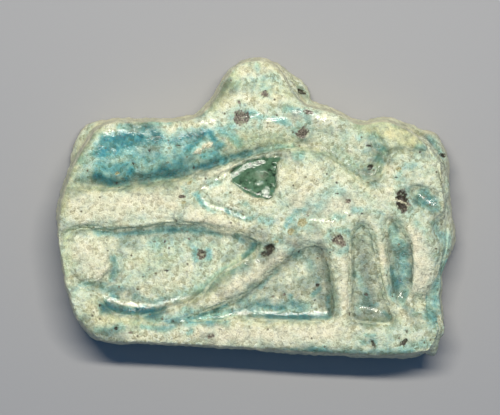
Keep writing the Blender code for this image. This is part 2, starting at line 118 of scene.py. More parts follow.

# colour drawn on the face for the glaze, the worn body, and painted shade, highlights and reflections: how
# much, half width, then the path
washes = {
    # blue, where glaze gathered, with a few strokes of painted bluish shade and painted reflection, noted
    # where they stand
    "copper": [
        # brow
        (0.4, 1.2, [(-12.8, 5.0), (-11.0, 5.2)]),
        (0.56, 0.45, [(-12.7, 5.9), (-11.6, 6.0), (-10.4, 6.1), (-9.5, 6.1)]),
        (0.34, 0.6, [(-8.8, 5.8), (-6.5, 5.8), (-4.4, 6.1)]),
        (0.3, 0.5, [(-3.2, 6.9), (-2.2, 6.2), (-1.6, 5.6)]),
        (0.4, 0.7, [(-13.4, 3.6), (-12.0, 3.2), (-10.6, 3.1)]),
        (0.42, 0.7, [(-12.9, 5.6), (-10.5, 5.6), (-9.0, 5.8)]),
        (0.36, 0.5, [(-9.6, 6.7), (-8.6, 6.4), (-8.0, 6.1)]), (0.46, 0.45, [(-12.9, 4.8), (-12.7, 4.5)]),
        (0.36, 0.4, [(-13.7, 4.6), (-12.9, 4.3)]), (0.42, 0.5, [(-11.6, 4.9), (-11.3, 5.4)]),
        (0.52, 0.45, [(-13.4, 2.8), (-12.9, 2.5), (-12.2, 2.3)]), (0.44, 0.4, [(-12.2, 2.2), (-11.0, 2.3)]),
        (0.62, 0.36, [(-10.9, 2.7), (-10.5, 3.3)]), (0.4, 0.36, [(-11.6, 3.5), (-10.8, 3.7)]),
        (0.34, 0.6, [(-9.5, 2.6), (-9.0, 3.2)]), (0.52, 0.36, [(-8.7, 2.6), (-7.8, 2.7), (-6.9, 2.9)]),
        (0.4, 0.5, [(-8.6, 3.1), (-7.2, 3.5)]), (0.42, 0.36, [(-7.0, 4.1), (-6.4, 3.8)]),
        (0.3, 1.1, [(-9.8, 4.0), (-7.5, 4.4), (-5.6, 4.9)]),
        (0.42, 0.6, [(-7.4, 3.1), (-6.4, 3.3), (-5.4, 3.6)]),
        (0.54, 0.3, [(-5.2, 3.4), (-4.5, 3.5), (-3.9, 3.7)]),
        (0.42, 0.4, [(-3.8, 3.9), (-3.2, 4.1), (-2.6, 4.1)]),
        (0.42, 0.44, [(-5.7, 4.9), (-5.4, 5.3), (-4.8, 5.8)]), (0.44, 0.36, [(-6.3, 5.9), (-5.5, 6.2)]),
        (0.54, 0.4, [(-4.6, 6.4), (-4.0, 6.4), (-3.6, 6.0)]), (0.42, 0.36, [(-3.4, 5.6), (-3.0, 5.2)]),
        (0.36, 0.5, [(-4.4, 4.4), (-3.4, 4.6)]), (0.26, 0.4, [(-2.8, 6.3), (-2.2, 6.9)]),
        (0.34, 0.34, [(-2.0, 4.3), (-1.2, 4.5), (-0.5, 4.7)]),
        (0.2, 0.4, [(0.2, 4.9), (1.5, 5.1), (3.0, 5.3)]), (0.2, 0.6, [(-9.0, 7.0), (-7.6, 7.4)]),
        (0.16, 0.7, [(-14.6, 2.4), (-14.4, 3.6), (-15.2, 4.4)]), (0.14, 0.4, [(-2.6, 7.4), (-1.9, 7.6)]),
        (0.18, 0.4, [(-0.4, 8.1), (0.2, 7.8), (0.3, 7.1)]),
        # middle and right of the brow, and the lug
        # the first stroke below paints the pale blue reflection on the brow's glaze
        (0.22, 0.4, [(2.0, 7.5), (2.8, 7.3)]), (0.2, 0.4, [(2.4, 8.4), (3.2, 8.4), (4.0, 7.9), (4.5, 7.3)]),
        (0.26, 0.4, [(3.4, 4.4), (3.8, 4.5)]), (0.16, 0.5, [(-0.6, 10.9), (0.4, 11.0), (1.5, 11.1)]),
        (0.16, 0.5, [(0.6, 10.3), (1.8, 10.6)]), (0.14, 0.3, [(0.0, 11.6), (0.1, 12.3)]),
        (0.12, 0.3, [(4.0, 10.8), (4.1, 10.2)]),
        # end of the brow, and the block beside it
        (0.2, 0.6, [(8.8, 5.9), (9.8, 6.1)]), (0.28, 0.36, [(10.2, 5.3), (10.6, 5.0)]),
        (0.28, 0.4, [(10.3, 4.2), (10.6, 3.9)]), (0.15, 0.6, [(10.8, 4.7), (10.2, 3.2)]),
        (0.16, 0.5, [(9.0, 2.6), (9.4, 2.4), (10.1, 2.0)]), (0.12, 0.8, [(7.0, 4.6), (8.3, 3.5)]),
        (0.2, 0.36, [(13.6, 5.1), (14.2, 5.0)]), (0.22, 0.36, [(14.5, 6.1), (15.1, 5.5), (15.5, 4.9)]),
        (0.15, 0.5, [(12.6, 3.6), (13.8, 3.6)]), (0.16, 0.5, [(11.9, 2.7), (12.1, 3.0)]),
        (0.32, 0.36, [(13.9, 1.4), (14.4, 1.3)]), (0.24, 0.5, [(13.7, 1.2), (14.6, 0.8), (15.2, 0.1)]),
        # corner of the eye
        (0.32, 0.3, [(-5.1, 1.2), (-4.7, 0.7), (-4.3, 0.2)]), (0.18, 0.3, [(-4.1, 0.0), (-3.6, -0.2)]),
        (0.18, 0.3, [(-6.2, 1.8), (-5.8, 1.4)]), (0.32, 0.24, [(-2.6, -0.1), (-2.3, -0.3)]),
        (0.2, 0.3, [(-1.8, -0.5), (-0.9, -0.9), (-0.3, -0.9)]), (0.2, 0.44, [(0.4, -1.0), (1.3, -1.0)]),
        (0.14, 0.4, [(-3.0, 2.0), (-3.9, 2.2)]), (0.15, 0.4, [(-1.4, 0.4), (-0.8, 0.3)]),
        # under the eye
        (0.32, 0.28, [(2.5, -1.4), (2.8, -1.0), (3.1, -0.7)]), (0.2, 0.36, [(3.3, -0.4), (4.0, -0.2)]),
        (0.18, 0.4, [(6.5, -0.8), (7.3, -0.8)]), (0.22, 0.36, [(8.3, -0.3), (8.8, -0.2)]),
        (0.15, 0.9, [(5.0, 0.3), (6.0, 1.0), (7.0, 1.6)]), (0.16, 0.4, [(10.0, -0.2), (10.8, -0.4)]),
        (0.13, 0.6, [(1.5, -2.4), (2.5, -3.2), (3.4, -4.0)]),
        (0.16, 0.4, [(6.2, -1.9), (7.0, -1.7), (7.8, -2.0)]), (0.14, 0.4, [(7.9, -3.2), (7.0, -3.8)]),
        # left field
        # this stroke and the next paint the bluish shade under the band's lower edge
        (0.3, 0.4, [(-13.5, -2.1), (-11.0, -2.0), (-8.5, -1.8), (-6.0, -1.7), (-4.2, -1.9), (-3.0, -2.2)]),
        (0.26, 0.26, [(-9.6, -2.0), (-8.9, -1.9)]),
        (0.12, 1.2, [(-11.0, -3.0), (-8.0, -3.0), (-5.0, -3.0)]), (0.22, 0.5, [(-1.6, -2.3), (-1.2, -2.8)]),
        (0.28, 0.4, [(-0.9, -4.1), (-0.3, -3.6), (0.1, -3.0)]), (0.16, 0.5, [(-0.9, -4.8), (-2.0, -5.4)]),
        (0.22, 0.36, [(-12.2, -4.2), (-11.9, -5.0), (-12.2, -5.9)]),
        (0.2, 0.5, [(-13.0, -6.6), (-12.8, -7.1), (-11.3, -6.7)]),
        (0.28, 0.28, [(-12.3, -7.4), (-11.8, -7.5)]),
        (0.2, 0.44, [(-10.2, -7.4), (-8.5, -7.9), (-7.8, -7.8)]),
        (0.55, 0.42, [(-12.9, -8.4), (-11.6, -8.7), (-10.4, -8.9), (-8.8, -8.9)]),
        (0.6, 0.3, [(-10.1, -8.8), (-9.6, -8.6)]), (0.38, 0.28, [(-8.9, -8.9), (-8.3, -8.9), (-7.7, -8.6)]),
        (0.14, 0.8, [(-7.0, -7.6), (-4.5, -6.8), (-2.8, -5.4)]),
        (0.16, 0.5, [(-15.0, -6.8), (-14.4, -6.3)]), (0.15, 0.5, [(-8.9, -3.0), (-8.2, -2.8)]),
        # foot of the teardrop and the bottom bar
        (0.24, 0.5, [(-8.6, -9.2), (-7.0, -9.4), (-4.4, -9.2), (-1.8, -8.8)]),
        (0.34, 0.45, [(-5.8, -9.6), (-3.6, -9.5)]), (0.1, 0.9, [(9.0, -9.4), (12.5, -10.2), (14.8, -9.8)]),
        (0.32, 0.4, [(1.0, -9.2), (3.4, -9.3), (6.2, -9.2)]),
        (0.24, 0.7, [(-0.6, -8.2), (1.0, -8.4), (4.0, -8.3)]), (0.38, 0.22, [(-7.6, -9.6), (-7.2, -9.6)]),
        (0.28, 0.28, [(-9.6, -10.1), (-8.5, -10.2), (-7.0, -10.1)]),
        (0.36, 0.26, [(-6.0, -9.3), (-5.0, -9.2), (-4.2, -8.8)]),
        (0.3, 0.3, [(-3.9, -8.7), (-3.3, -8.4), (-2.7, -8.1)]), (0.24, 0.3, [(-2.2, -8.7), (-1.2, -8.6)]),
        (0.18, 0.4, [(-4.0, -9.6), (-2.5, -9.8)]), (0.2, 0.5, [(-1.4, -7.9), (-0.3, -7.4)]),
        (0.2, 0.36, [(0.3, -6.6), (1.0, -5.8), (1.6, -5.2)]),
        (0.4, 0.3, [(0.2, -8.2), (0.8, -8.4), (2.3, -8.4)]), (0.34, 0.3, [(2.9, -8.0), (2.9, -7.4)]),
        (0.26, 0.26, [(2.6, -9.2), (3.5, -9.3), (4.3, -9.1)]), (0.26, 0.26, [(4.8, -7.2), (5.4, -6.9)]),
        (0.26, 0.3, [(5.9, -9.0), (6.3, -8.8), (6.2, -7.6)]),
        (0.15, 0.6, [(3.0, -3.6), (4.2, -4.2), (5.2, -6.0)]),
        (0.22, 0.4, [(-13.4, -10.2), (-12.4, -10.4), (-11.4, -10.2)]),
        (0.26, 0.22, [(-5.8, -10.4), (-5.4, -10.4)]), (0.32, 0.36, [(4.9, -12.0), (5.7, -11.8)]),
        (0.2, 0.3, [(9.3, -10.7), (9.9, -10.7)]), (0.2, 0.3, [(8.9, -11.4), (9.9, -11.2), (10.2, -11.6)]),
        (0.2, 0.3, [(12.2, -11.8), (13.0, -11.9)]),
        # fields and ridges at the right
        (0.18, 0.5, [(8.5, -5.7), (9.3, -7.1), (8.6, -8.7)]), (0.24, 0.36, [(9.6, -8.2), (10.2, -8.1)]),
        (0.22, 0.3, [(10.8, -8.8), (11.3, -9.3)]), (0.24, 0.36, [(12.0, -2.6), (12.3, -3.2)]),
        (0.37, 0.5, [(12.3, -4.0), (12.5, -4.8)]), (0.34, 0.55, [(12.4, -5.4), (12.0, -6.4), (11.5, -5.4)]),
        (0.2, 0.6, [(11.6, -1.8), (12.0, -3.6), (12.0, -6.8)]), (0.24, 0.4, [(11.4, -6.8), (11.6, -7.5)]),
        (0.2, 0.4, [(12.6, -7.0), (12.3, -7.8)]), (0.18, 0.5, [(15.2, -1.2), (15.3, -2.4), (16.2, -2.2)]),
        (0.28, 0.26, [(16.0, -4.4), (15.8, -5.0), (15.6, -5.4)]), (0.14, 0.5, [(13.6, -1.4), (14.2, -1.8)]),
        (0.24, 0.6, [(15.0, -6.4), (15.0, -7.8), (14.6, -9.2)]), (0.34, 0.26, [(15.2, -7.6), (15.3, -8.4)]),
        (0.2, 0.5, [(15.2, -9.0), (14.4, -9.4)]), (0.32, 0.6, [(14.1, -7.4), (13.9, -8.8), (15.2, -10.0)]),
        (0.16, 0.7, [(15.5, -2.5), (15.4, -5.0), (15.2, -8.0)]), (0.18, 0.5, [(16.2, -2.4), (16.0, -3.6)]),
        (0.16, 0.5, [(12.8, -11.6), (14.6, -11.2)]), (0.2, 0.4, [(-12.8, -7.0), (-12.0, -7.2)]),
        (0.22, 0.5, [(-6.0, -8.7), (-3.2, -8.9)]), (0.22, 0.4, [(0.0, -9.1), (1.4, -9.2)]),
        (0.3, 0.7, [(13.8, 0.8), (14.8, 0.2)]), (0.34, 0.3, [(-5.2, -3.5), (-5.1, -4.2)]),
        # the strokes at y 7.35 to 7.9 paint the pale blue reflection on the brow's glaze
        (0.3, 0.3, [(-4.0, -3.6), (-4.1, -4.3)]), (0.25, 0.4, [(-0.7, 7.9), (0.6, 7.7)]),
        (0.3, 0.35, [(1.5, 7.6), (2.4, 7.35)]), (0.24, 0.4, [(-11.4, 6.8), (-10.2, 6.8)]),
        (0.26, 0.4, [(-6.6, 6.4), (-4.6, 6.7)]), (0.2, 0.4, [(2.0, -12.0), (8.0, -12.15), (13.0, -12.0)]),
    ],
    # painted shade, grey and dark, in creases and hollows, at the foot of walls and in the cord hole's
    # mouth, with some thick grey glaze
    "murk": [
        # painted shade on the grey lower edge and in dark creases all over the face
        (0.85, 0.34, [(-13.4, -11.3), (-11.4, -11.6), (-9.0, -11.8), (-5.0, -11.95), (0.0, -12.1),
                      (5.0, -12.25), (9.0, -12.35), (12.4, -12.3)]),
        (0.45, 0.5, [(-15.6, 1.4), (-14.4, 1.6)]), (0.4, 0.5, [(-13.0, 1.8), (-9.0, 2.0), (-6.2, 2.4)]),
        (0.2, 0.5, [(-11.2, 3.0), (-10.6, 3.0)]), (0.6, 0.4, [(-6.6, 2.8), (-5.4, 3.0), (-4.4, 3.3)]),
        (0.3, 0.5, [(3.0, 4.2), (3.4, 4.0)]), (0.6, 0.5, [(-0.2, -2.0), (0.8, -2.2)]),
        (0.5, 0.5, [(0.4, -4.2), (1.2, -3.9)]), (0.7, 0.4, [(3.7, 10.2), (4.2, 9.7)]),
        (0.7, 0.5, [(9.3, 2.9), (10.1, 2.5)]), (0.3, 0.2, [(-14.9, 4.6), (-14.2, 5.6), (-13.5, 6.4)]),
        (0.8, 0.4, [(12.6, 7.0), (13.8, 6.5), (14.7, 5.4)]), (0.45, 0.5, [(3.8, 5.7), (4.8, 5.5)]),
        (0.4, 0.4, [(1.8, 4.5), (2.6, 4.3)]), (0.65, 0.5, [(10.5, 4.5), (10.9, 3.9)]),
        (0.4, 0.45, [(2.2, -2.6), (3.6, -3.0)]), (0.4, 0.4, [(-6.2, -7.9), (-4.6, -7.4)]),
        (0.35, 0.5, [(15.0, -9.0), (15.2, -10.0)]), (0.14, 1.5, [(-0.5, 11.0), (1.0, 10.4)]),
        (0.14, 1.2, [(13.0, 3.8), (13.6, 2.6)]), (0.2, 0.7, [(10.4, 6.6), (12.8, 6.2)]),
        (0.08, 1.2, [(2.6, 3.0), (4.4, 1.8)]), (0.9, 0.5, [(3.9, 5.9), (4.6, 5.4)]),
        (0.3, 0.4, [(2.2, 5.8), (2.8, 5.8)]),
        (0.5, 0.3, [(-1.8, 4.1), (-0.4, 4.4), (1.2, 4.75), (2.6, 4.8)]),
        (0.5, 0.5, [(5.3, -4.2), (5.5, -6.8)]), (0.5, 1.0, [(8.8, -7.6), (10.2, -8.0)]),
        (0.8, 0.4, [(10.2, -9.2), (11.2, -9.4)]), (0.45, 0.45, [(-11.9, -7.0), (-10.7, -7.2)]),
        (0.5, 0.5, [(-14.4, -9.4), (-14.0, -10.3)]), (0.4, 0.5, [(-16.4, 0.4), (-16.1, 2.2), (-15.4, 4.2)]),
        (0.35, 0.35, [(-16.5, -1.2), (-16.4, -3.0)]), (0.3, 0.4, [(2.8, -2.4), (4.2, -2.6)]),
        # foot of the brow
        (0.95, 0.5, [(-13.6, 2.4), (-12.4, 2.2), (-11.0, 2.4), (-9.0, 2.6), (-7.6, 3.0)]),
        (0.85, 0.4, [(-7.6, 2.8), (-6.0, 3.05), (-4.6, 3.4), (-3.4, 3.9)]),
        (0.45, 0.5, [(-14.8, 2.2), (-13.6, 2.5)]), (0.4, 0.5, [(-7.4, 3.5), (-5.6, 4.0)]),
        (0.6, 0.45, [(-2.4, 4.3), (-1.2, 4.6), (0.2, 5.0)]),
        (0.36, 0.45, [(0.2, 5.2), (1.8, 5.3), (3.4, 5.35), (5.0, 5.1)]),
        (0.3, 0.6, [(5.0, 5.0), (6.4, 4.5)]), (0.35, 0.4, [(3.2, 6.0), (4.6, 5.8)]),
        (0.25, 0.5, [(-3.4, 5.6), (-2.6, 4.9)]),
        # upper brow
        (0.34, 0.8, [(-12.8, 5.6), (-10.0, 5.9)]), (0.55, 0.6, [(-10.6, 6.9), (-9.2, 6.8), (-8.6, 6.2)]),
        (0.3, 0.5, [(3.2, 7.9), (4.8, 7.6)]), (0.3, 0.8, [(-9.4, 5.3), (-8.8, 4.8)]),
        (0.4, 0.6, [(-6.4, 5.9), (-4.4, 6.3)]), (0.3, 0.5, [(-7.0, 4.4), (-6.0, 3.9)]),
        (0.1, 0.8, [(-13.2, 5.2), (-12.9, 4.2)]), (0.2, 0.8, [(-11.6, 3.2), (-10.4, 3.2)]),
        (0.25, 0.4, [(-4.6, 7.8), (-6.2, 8.0), (-9.0, 7.9)]),
        (0.9, 0.45, [(-4.0, 8.7), (-3.2, 9.6), (-2.5, 10.6)]),
        # right of the brow
        (0.3, 0.5, [(4.6, 6.9), (5.6, 7.0), (7.0, 6.8)]), (0.06, 0.6, [(7.2, 7.6), (8.6, 7.0)]),
        (0.4, 0.4, [(9.0, 7.3), (9.8, 6.7)]),
        (0.5, 0.6, [(9.6, 5.7), (10.2, 5.0), (10.4, 4.2), (10.1, 3.2)]),
        (0.35, 0.5, [(8.8, 3.0), (9.6, 2.3), (10.2, 2.1)]),
        (0.3, 0.3, [(6.8, 4.2), (8.2, 3.2), (9.0, 2.4)]),
        (0.5, 0.4, [(11.2, 4.8), (12.6, 5.0), (14.2, 4.8)]), (0.2, 0.5, [(12.0, 6.9), (13.4, 6.6)]),
        (0.6, 0.7, [(13.7, 0.9), (14.5, 0.6), (14.9, -0.1)]), (0.3, 0.3, [(12.8, 1.5), (13.4, 0.9)]),
        # under the eye
        (0.3, 0.3, [(2.6, -1.3), (3.2, -1.6)]), (0.2, 0.3, [(-2.4, -0.2), (-1.4, -0.7)]),
        (0.25, 0.4, [(7.4, 1.0), (8.2, 0.2)]), (0.3, 0.4, [(5.0, -1.6), (5.4, -2.2)]),
        (0.15, 0.3, [(8.8, -1.3), (9.4, -1.4)]), (0.25, 0.4, [(10.2, -0.6), (9.2, -0.9)]),
        # left field
        (0.48, 0.3, [(-15.6, -2.0), (-13.6, -1.95), (-11.0, -1.85), (-8.4, -1.75), (-6.0, -1.55),
                     (-4.0, -1.8), (-1.8, -2.3), (-0.4, -2.8)]),
        (0.35, 0.5, [(-12.6, -2.4), (-9.6, -2.3), (-7.4, -2.1), (-5.0, -2.2), (-3.0, -2.5)]),
        (0.3, 0.6, [(-11.8, -3.2), (-9.8, -3.1)]), (0.6, 0.6, [(-1.0, -2.9), (0.1, -3.3)]),
        (0.7, 0.4, [(0.2, -3.0), (1.0, -2.9), (1.3, -3.8)]), (0.6, 0.4, [(-0.8, -4.0), (-0.6, -4.8)]),
        (0.4, 0.45, [(-1.2, -5.0), (-2.4, -5.8), (-3.6, -6.8)]), (0.5, 0.3, [(-3.6, -6.6), (-4.4, -7.3)]),
        (0.3, 0.5, [(-2.4, -4.4), (-1.8, -3.6)]), (0.2, 0.4, [(-5.4, -4.0), (-4.4, -3.2)]),
        (0.2, 0.4, [(-13.2, -6.4), (-14.6, -6.6), (-15.4, -6.4)]),
        (0.35, 0.6, [(-13.4, -7.1), (-11.8, -6.9), (-10.2, -7.2)]),
        (0.3, 0.5, [(-12.2, -4.4), (-11.8, -5.6)]),
        (0.35, 0.5, [(-10.2, -7.6), (-8.4, -8.0), (-7.0, -7.9)]),
        (1.2, 0.45, [(-12.8, -8.45), (-11.4, -8.85), (-10.0, -8.92), (-8.6, -8.85), (-7.6, -8.6)]),
        (0.5, 0.5, [(-12.4, -8.0), (-11.8, -8.2)]), (0.5, 0.5, [(-13.0, -10.7), (-11.0, -10.9)]),
        (0.6, 0.4, [(-7.4, -8.4), (-5.9, -8.1), (-4.8, -7.6)]),
        # foot of the teardrop, the bottom bar and the lower left corner
        (0.45, 0.3, [(-7.6, -9.6), (-6.2, -9.5), (-4.6, -9.0), (-3.0, -8.3)]),
        (0.3, 0.35, [(-8.6, -10.2), (-7.2, -10.0)]),
        (0.5, 0.5, [(-13.8, -10.2), (-12.6, -10.7), (-11.4, -10.6)]),
        (0.4, 0.3, [(-4.4, -10.9), (-3.6, -11.2)]), (0.5, 0.3, [(-13.4, -11.2), (-11.6, -11.4)]),
        (0.25, 0.5, [(-4.2, -9.8), (-2.6, -9.9)]),
        # middle field
        (0.4, 0.5, [(-1.2, -7.4), (0.4, -6.3), (1.6, -5.2), (2.8, -4.3), (4.0, -3.7), (5.2, -3.5)]),
        (0.35, 0.7, [(-0.8, -7.6), (0.4, -6.6), (1.8, -5.4)]),
        (0.35, 0.8, [(2.6, -4.6), (3.8, -4.2), (4.8, -4.2)]),
        (1.0, 0.5, [(5.6, -3.2), (5.9, -4.4), (6.1, -5.8), (6.3, -7.2), (6.5, -8.9)]),
        (0.6, 0.7, [(5.0, -5.0), (5.2, -6.4), (5.6, -7.8)]),
        (0.4, 0.9, [(1.0, -6.8), (2.6, -7.0), (4.2, -6.6)]),
        (0.5, 0.6, [(-1.0, -8.2), (1.0, -8.1), (3.6, -8.0)]),
        (0.5, 0.4, [(-2.0, -8.6), (-0.4, -9.2), (1.4, -9.25)]),
        (0.65, 0.45, [(0.8, -9.25), (2.6, -9.35), (4.4, -9.35), (6.2, -9.25)]),
        # arched field, crescent and flank
        (0.65, 0.8, [(8.9, -3.2), (9.2, -4.4), (9.5, -5.8), (9.7, -7.2), (9.6, -8.6)]),
        (0.5, 0.2, [(8.15, -2.2), (8.15, -5.0), (8.25, -8.6)]),
        (0.3, 0.35, [(9.8, -2.4), (10.2, -4.6), (10.6, -7.0), (11.2, -8.8)]),
        (1.1, 0.5, [(8.4, -9.2), (9.8, -9.3), (11.3, -9.3)]), (0.35, 0.6, [(12.8, -8.3), (13.6, -9.4)]),
        (0.5, 0.3, [(11.4, -1.0), (11.9, -1.8)]), (0.9, 0.4, [(12.7, -3.3), (13.0, -4.6), (12.9, -6.0)]),
        (0.6, 0.7, [(11.8, -3.6), (12.0, -5.2), (11.9, -6.8)]),
        (0.6, 0.3, [(11.1, -2.2), (11.3, -4.6), (11.6, -6.8)]), (0.35, 0.5, [(12.0, -7.6), (12.6, -7.2)]),
        (0.3, 0.6, [(14.5, -7.7), (15.2, -8.7), (14.0, -9.4)]), (0.25, 0.4, [(15.4, -5.0), (15.6, -3.6)]),
        (0.3, 0.5, [(10.0, -10.1), (9.2, -9.8)]), (0.35, 0.3, [(9.6, -11.2), (10.1, -11.6)]),
        (0.55, 0.35, [(0.8, -11.8), (4.0, -11.9), (6.4, -12.0), (8.8, -12.1)]),
        (0.4, 0.45, [(-3.6, 9.0), (-2.0, 9.9)]), (0.3, 0.5, [(-3.0, -7.0), (-1.4, -8.0)]),
    ],
    # yellower body
    "straw": [
        (0.9, 0.5, [(-15.2, 4.2), (-14.3, 5.8), (-13.2, 6.9)]),
        (0.9, 0.6, [(-16.4, 0.2), (-16.0, 2.4), (-15.3, 4.2), (-14.6, 5.4)]),
        (0.4, 0.5, [(-13.8, 7.0), (-12.0, 7.6), (-9.0, 7.7), (-6.4, 7.6)]),
        (0.9, 0.6, [(-3.6, 8.6), (-2.6, 9.9), (-1.8, 11.2)]),
        (0.4, 0.5, [(-0.6, 12.4), (0.8, 12.5), (1.6, 11.8)]),
        (0.4, 0.8, [(0.5, 10.0), (2.0, 9.8), (3.4, 9.8)]),
        (0.6, 0.8, [(-2.0, 5.4), (0.0, 5.8), (2.4, 5.6), (5.0, 5.0)]),
        (0.3, 0.6, [(5.6, 4.6), (7.0, 3.6), (8.4, 2.4)]),
        (1.5, 0.8, [(9.4, 7.1), (10.4, 6.8), (11.8, 6.4), (13.4, 6.0)]),
        (0.7, 0.4, [(11.4, 4.9), (12.8, 5.0), (13.6, 5.2)]),
        (0.7, 0.5, [(10.8, 5.0), (10.5, 4.0), (10.2, 3.0)]), (0.3, 0.6, [(2.4, 3.4), (3.0, 2.4)]),
        (0.8, 0.5, [(-15.0, 1.5), (-12.0, 1.7), (-9.0, 1.9), (-6.0, 2.4)]),
        (0.3, 0.5, [(10.0, 1.2), (8.6, 2.0)]),
        (0.7, 0.5, [(-5.8, -8.0), (-4.0, -7.0), (-2.4, -5.6), (-1.2, -4.4), (0.4, -3.4)]),
        (0.7, 0.6, [(-13.2, -9.2), (-11.2, -9.7), (-8.6, -9.8)]),
        (0.5, 0.5, [(-16.2, -4.0), (-16.0, -6.0)]), (0.3, 0.8, [(-10.4, -4.4), (-8.6, -4.6), (-7.4, -4.0)]),
        (0.5, 0.4, [(-16.0, -2.6), (-15.7, -4.6)]),
        (0.5, 0.5, [(-14.0, -8.0), (-14.2, -9.6), (-13.0, -10.2)]),
        (0.4, 0.3, [(-3.0, -9.8), (0.0, -9.9), (3.4, -9.8), (6.2, -9.7)]),
        (0.6, 0.5, [(9.4, -9.5), (10.5, -9.6), (11.8, -9.4)]),
        (0.4, 0.4, [(6.1, -4.4), (6.5, -6.4), (6.7, -8.6)]),
        (0.4, 0.3, [(10.0, -2.4), (10.4, -4.4), (11.0, -7.6)]),
    ],
    # paler, warmer body, and a painted highlight on the band
    "rose": [
        (0.5, 0.5, [(-14.4, -0.8), (-11.0, -0.6), (-8.0, -0.5), (-5.0, -0.8), (-2.4, -1.5)]),
        (0.5, 0.9, [(-14.8, 0.6), (-11.0, 0.8), (-7.0, 1.0)]), (0.5, 0.8, [(-14.6, -3.4), (-14.4, -4.6)]),
        # painted highlight: a pale glossy patch on the band
        (0.4, 0.5, [(-8.6, 0.8), (-7.4, 0.8)]),
        (0.6, 0.5, [(-2.4, -6.8), (-0.4, -5.8), (1.6, -4.2), (3.6, -2.9), (5.2, -2.5)]),
        (0.6, 0.5, [(7.2, -3.0), (7.4, -5.4), (7.6, -8.0)]),
        (0.5, 0.4, [(10.4, -2.6), (10.9, -4.6), (11.4, -6.8)]),
        (0.9, 0.7, [(13.5, -2.6), (13.9, -4.4), (13.8, -6.8)]),
        (0.7, 0.8, [(-4.0, -10.8), (-0.5, -10.8), (2.9, -10.8), (6.7, -10.4)]),
        (0.4, 0.4, [(-4.7, 2.7), (-2.8, 3.4)]), (0.4, 0.5, [(0.2, 7.4), (2.0, 7.4), (5.0, 7.9)]),
        (0.4, 0.6, [(-13.2, -5.4), (-12.6, -4.2), (-13.0, -3.2)]),
        (0.7, 1.0, [(3.4, 0.4), (5.4, 0.2), (7.6, 0.6)]),
        (0.4, 0.4, [(12.6, 1.8), (14.6, 2.2), (15.2, 1.2)]), (0.4, 0.5, [(10.2, 0.3), (11.4, 0.9)]),
    ],
    # where the glaze is worn off
    "bare": [
        (1.0, 1.0, [(-15.4, 0.2), (-12.0, 0.4), (-9.0, 0.5), (-6.6, 0.4)]),
        (1.0, 0.6, [(-5.4, -0.8), (-3.0, -1.2), (-1.0, -1.7)]),
        (1.0, 0.9, [(-14.8, -3.4), (-13.6, -3.6), (-13.4, -4.8)]),
        (1.0, 1.1, [(3.2, 2.9), (4.6, 2.2), (4.0, 1.6)]), (0.7, 0.8, [(3.4, 0.6), (5.4, 0.3), (7.4, 0.3)]),
        (0.8, 0.5, [(-4.8, 2.5), (-3.4, 3.0), (-2.2, 3.4)]),
        (0.8, 0.5, [(-1.8, 1.4), (-0.6, 1.0), (1.2, 0.5)]),
        (1.0, 0.5, [(-6.2, -8.6), (-4.0, -7.8), (-2.0, -6.7), (-0.4, -5.7), (1.4, -4.1), (3.2, -2.9)]),
        (1.0, 0.8, [(-5.0, -10.6), (-1.0, -10.6), (3.0, -10.6), (7.4, -10.3)]),
        (1.0, 0.5, [(7.3, -3.6), (7.5, -6.0), (7.7, -8.6)]),
        (1.0, 0.4, [(10.5, -3.2), (11.0, -5.2), (11.4, -7.4)]),
        (1.0, 0.5, [(12.9, -1.4), (13.6, -3.2), (14.0, -5.0), (13.8, -6.6)]),
        (0.9, 0.4, [(11.6, 3.4), (11.3, 2.2), (11.4, 0.8)]),
        (0.8, 0.5, [(11.4, 6.3), (12.6, 5.9), (13.2, 5.7)]),
        (0.7, 0.4, [(10.4, 1.0), (9.0, 2.0), (8.0, 3.1), (6.6, 4.2)]),
        (0.8, 0.6, [(-1.0, 11.8), (0.6, 11.9), (2.0, 11.4)]),
        (0.8, 0.5, [(-2.8, 8.6), (-1.6, 9.3), (0.4, 9.1), (2.4, 9.1)]),
        (0.8, 0.5, [(0.6, 7.4), (1.6, 6.9)]), (0.8, 0.4, [(-13.6, 7.1), (-12.6, 7.4)]),
        (0.7, 0.5, [(-7.6, 6.8), (-6.2, 7.0), (-4.8, 7.2)]), (0.8, 0.5, [(-13.6, -9.0), (-11.4, -9.8)]),
        (0.8, 0.4, [(-10.8, -10.8), (-8.6, -11.1), (-6.4, -11.0)]),
        (0.8, 0.6, [(12.2, -9.4), (13.6, -9.8), (14.0, -10.8)]),
        (0.7, 0.5, [(-9.6, -6.6), (-7.6, -6.6), (-6.0, -5.6)]),
    ],
}
# outline of the pool of thick glass that fills the iris
glassPool = [(-2.3, 2.85), (-1.5, 3.6), (-0.5, 4.05), (0.6, 4.3), (2.0, 4.3), (1.8, 3.5), (1.65, 2.4),
             (1.6, 1.5), (1.2, 0.9), (0.6, 0.85), (-0.6, 1.2), (-1.6, 1.9)]
# heaps of crust on the brow: x, y, half length, half width, turn in degrees
crust = [(-4.9, 4.8, 0.42, 0.24, 15), (-4.45, 5.15, 0.3, 0.2, 60), (-4.0, 5.35, 0.36, 0.22, 20)]
# a painted glint: a white line on a low raised strand over the largest pit
hair = [(11.1, 0.6), (11.6, 0.75), (12.1, 0.7), (12.5, 0.5), (12.75, 0.2)]
# the crease at the brow's foot, where no glaze gathered, and the foot of the band under the eye
browCrease = [(-16.4, 1.9), (-12.8, 1.8), (-8.5, 2.3), (-4.3, 3.3), (-0.9, 4.4), (1.6, 5.1), (3.0, 5.2)]
bandFoot = [(-16.2, -1.4), (-12.0, -1.3), (-9.0, -1.1), (-6.0, -1.1), (-3.0, -1.6)]

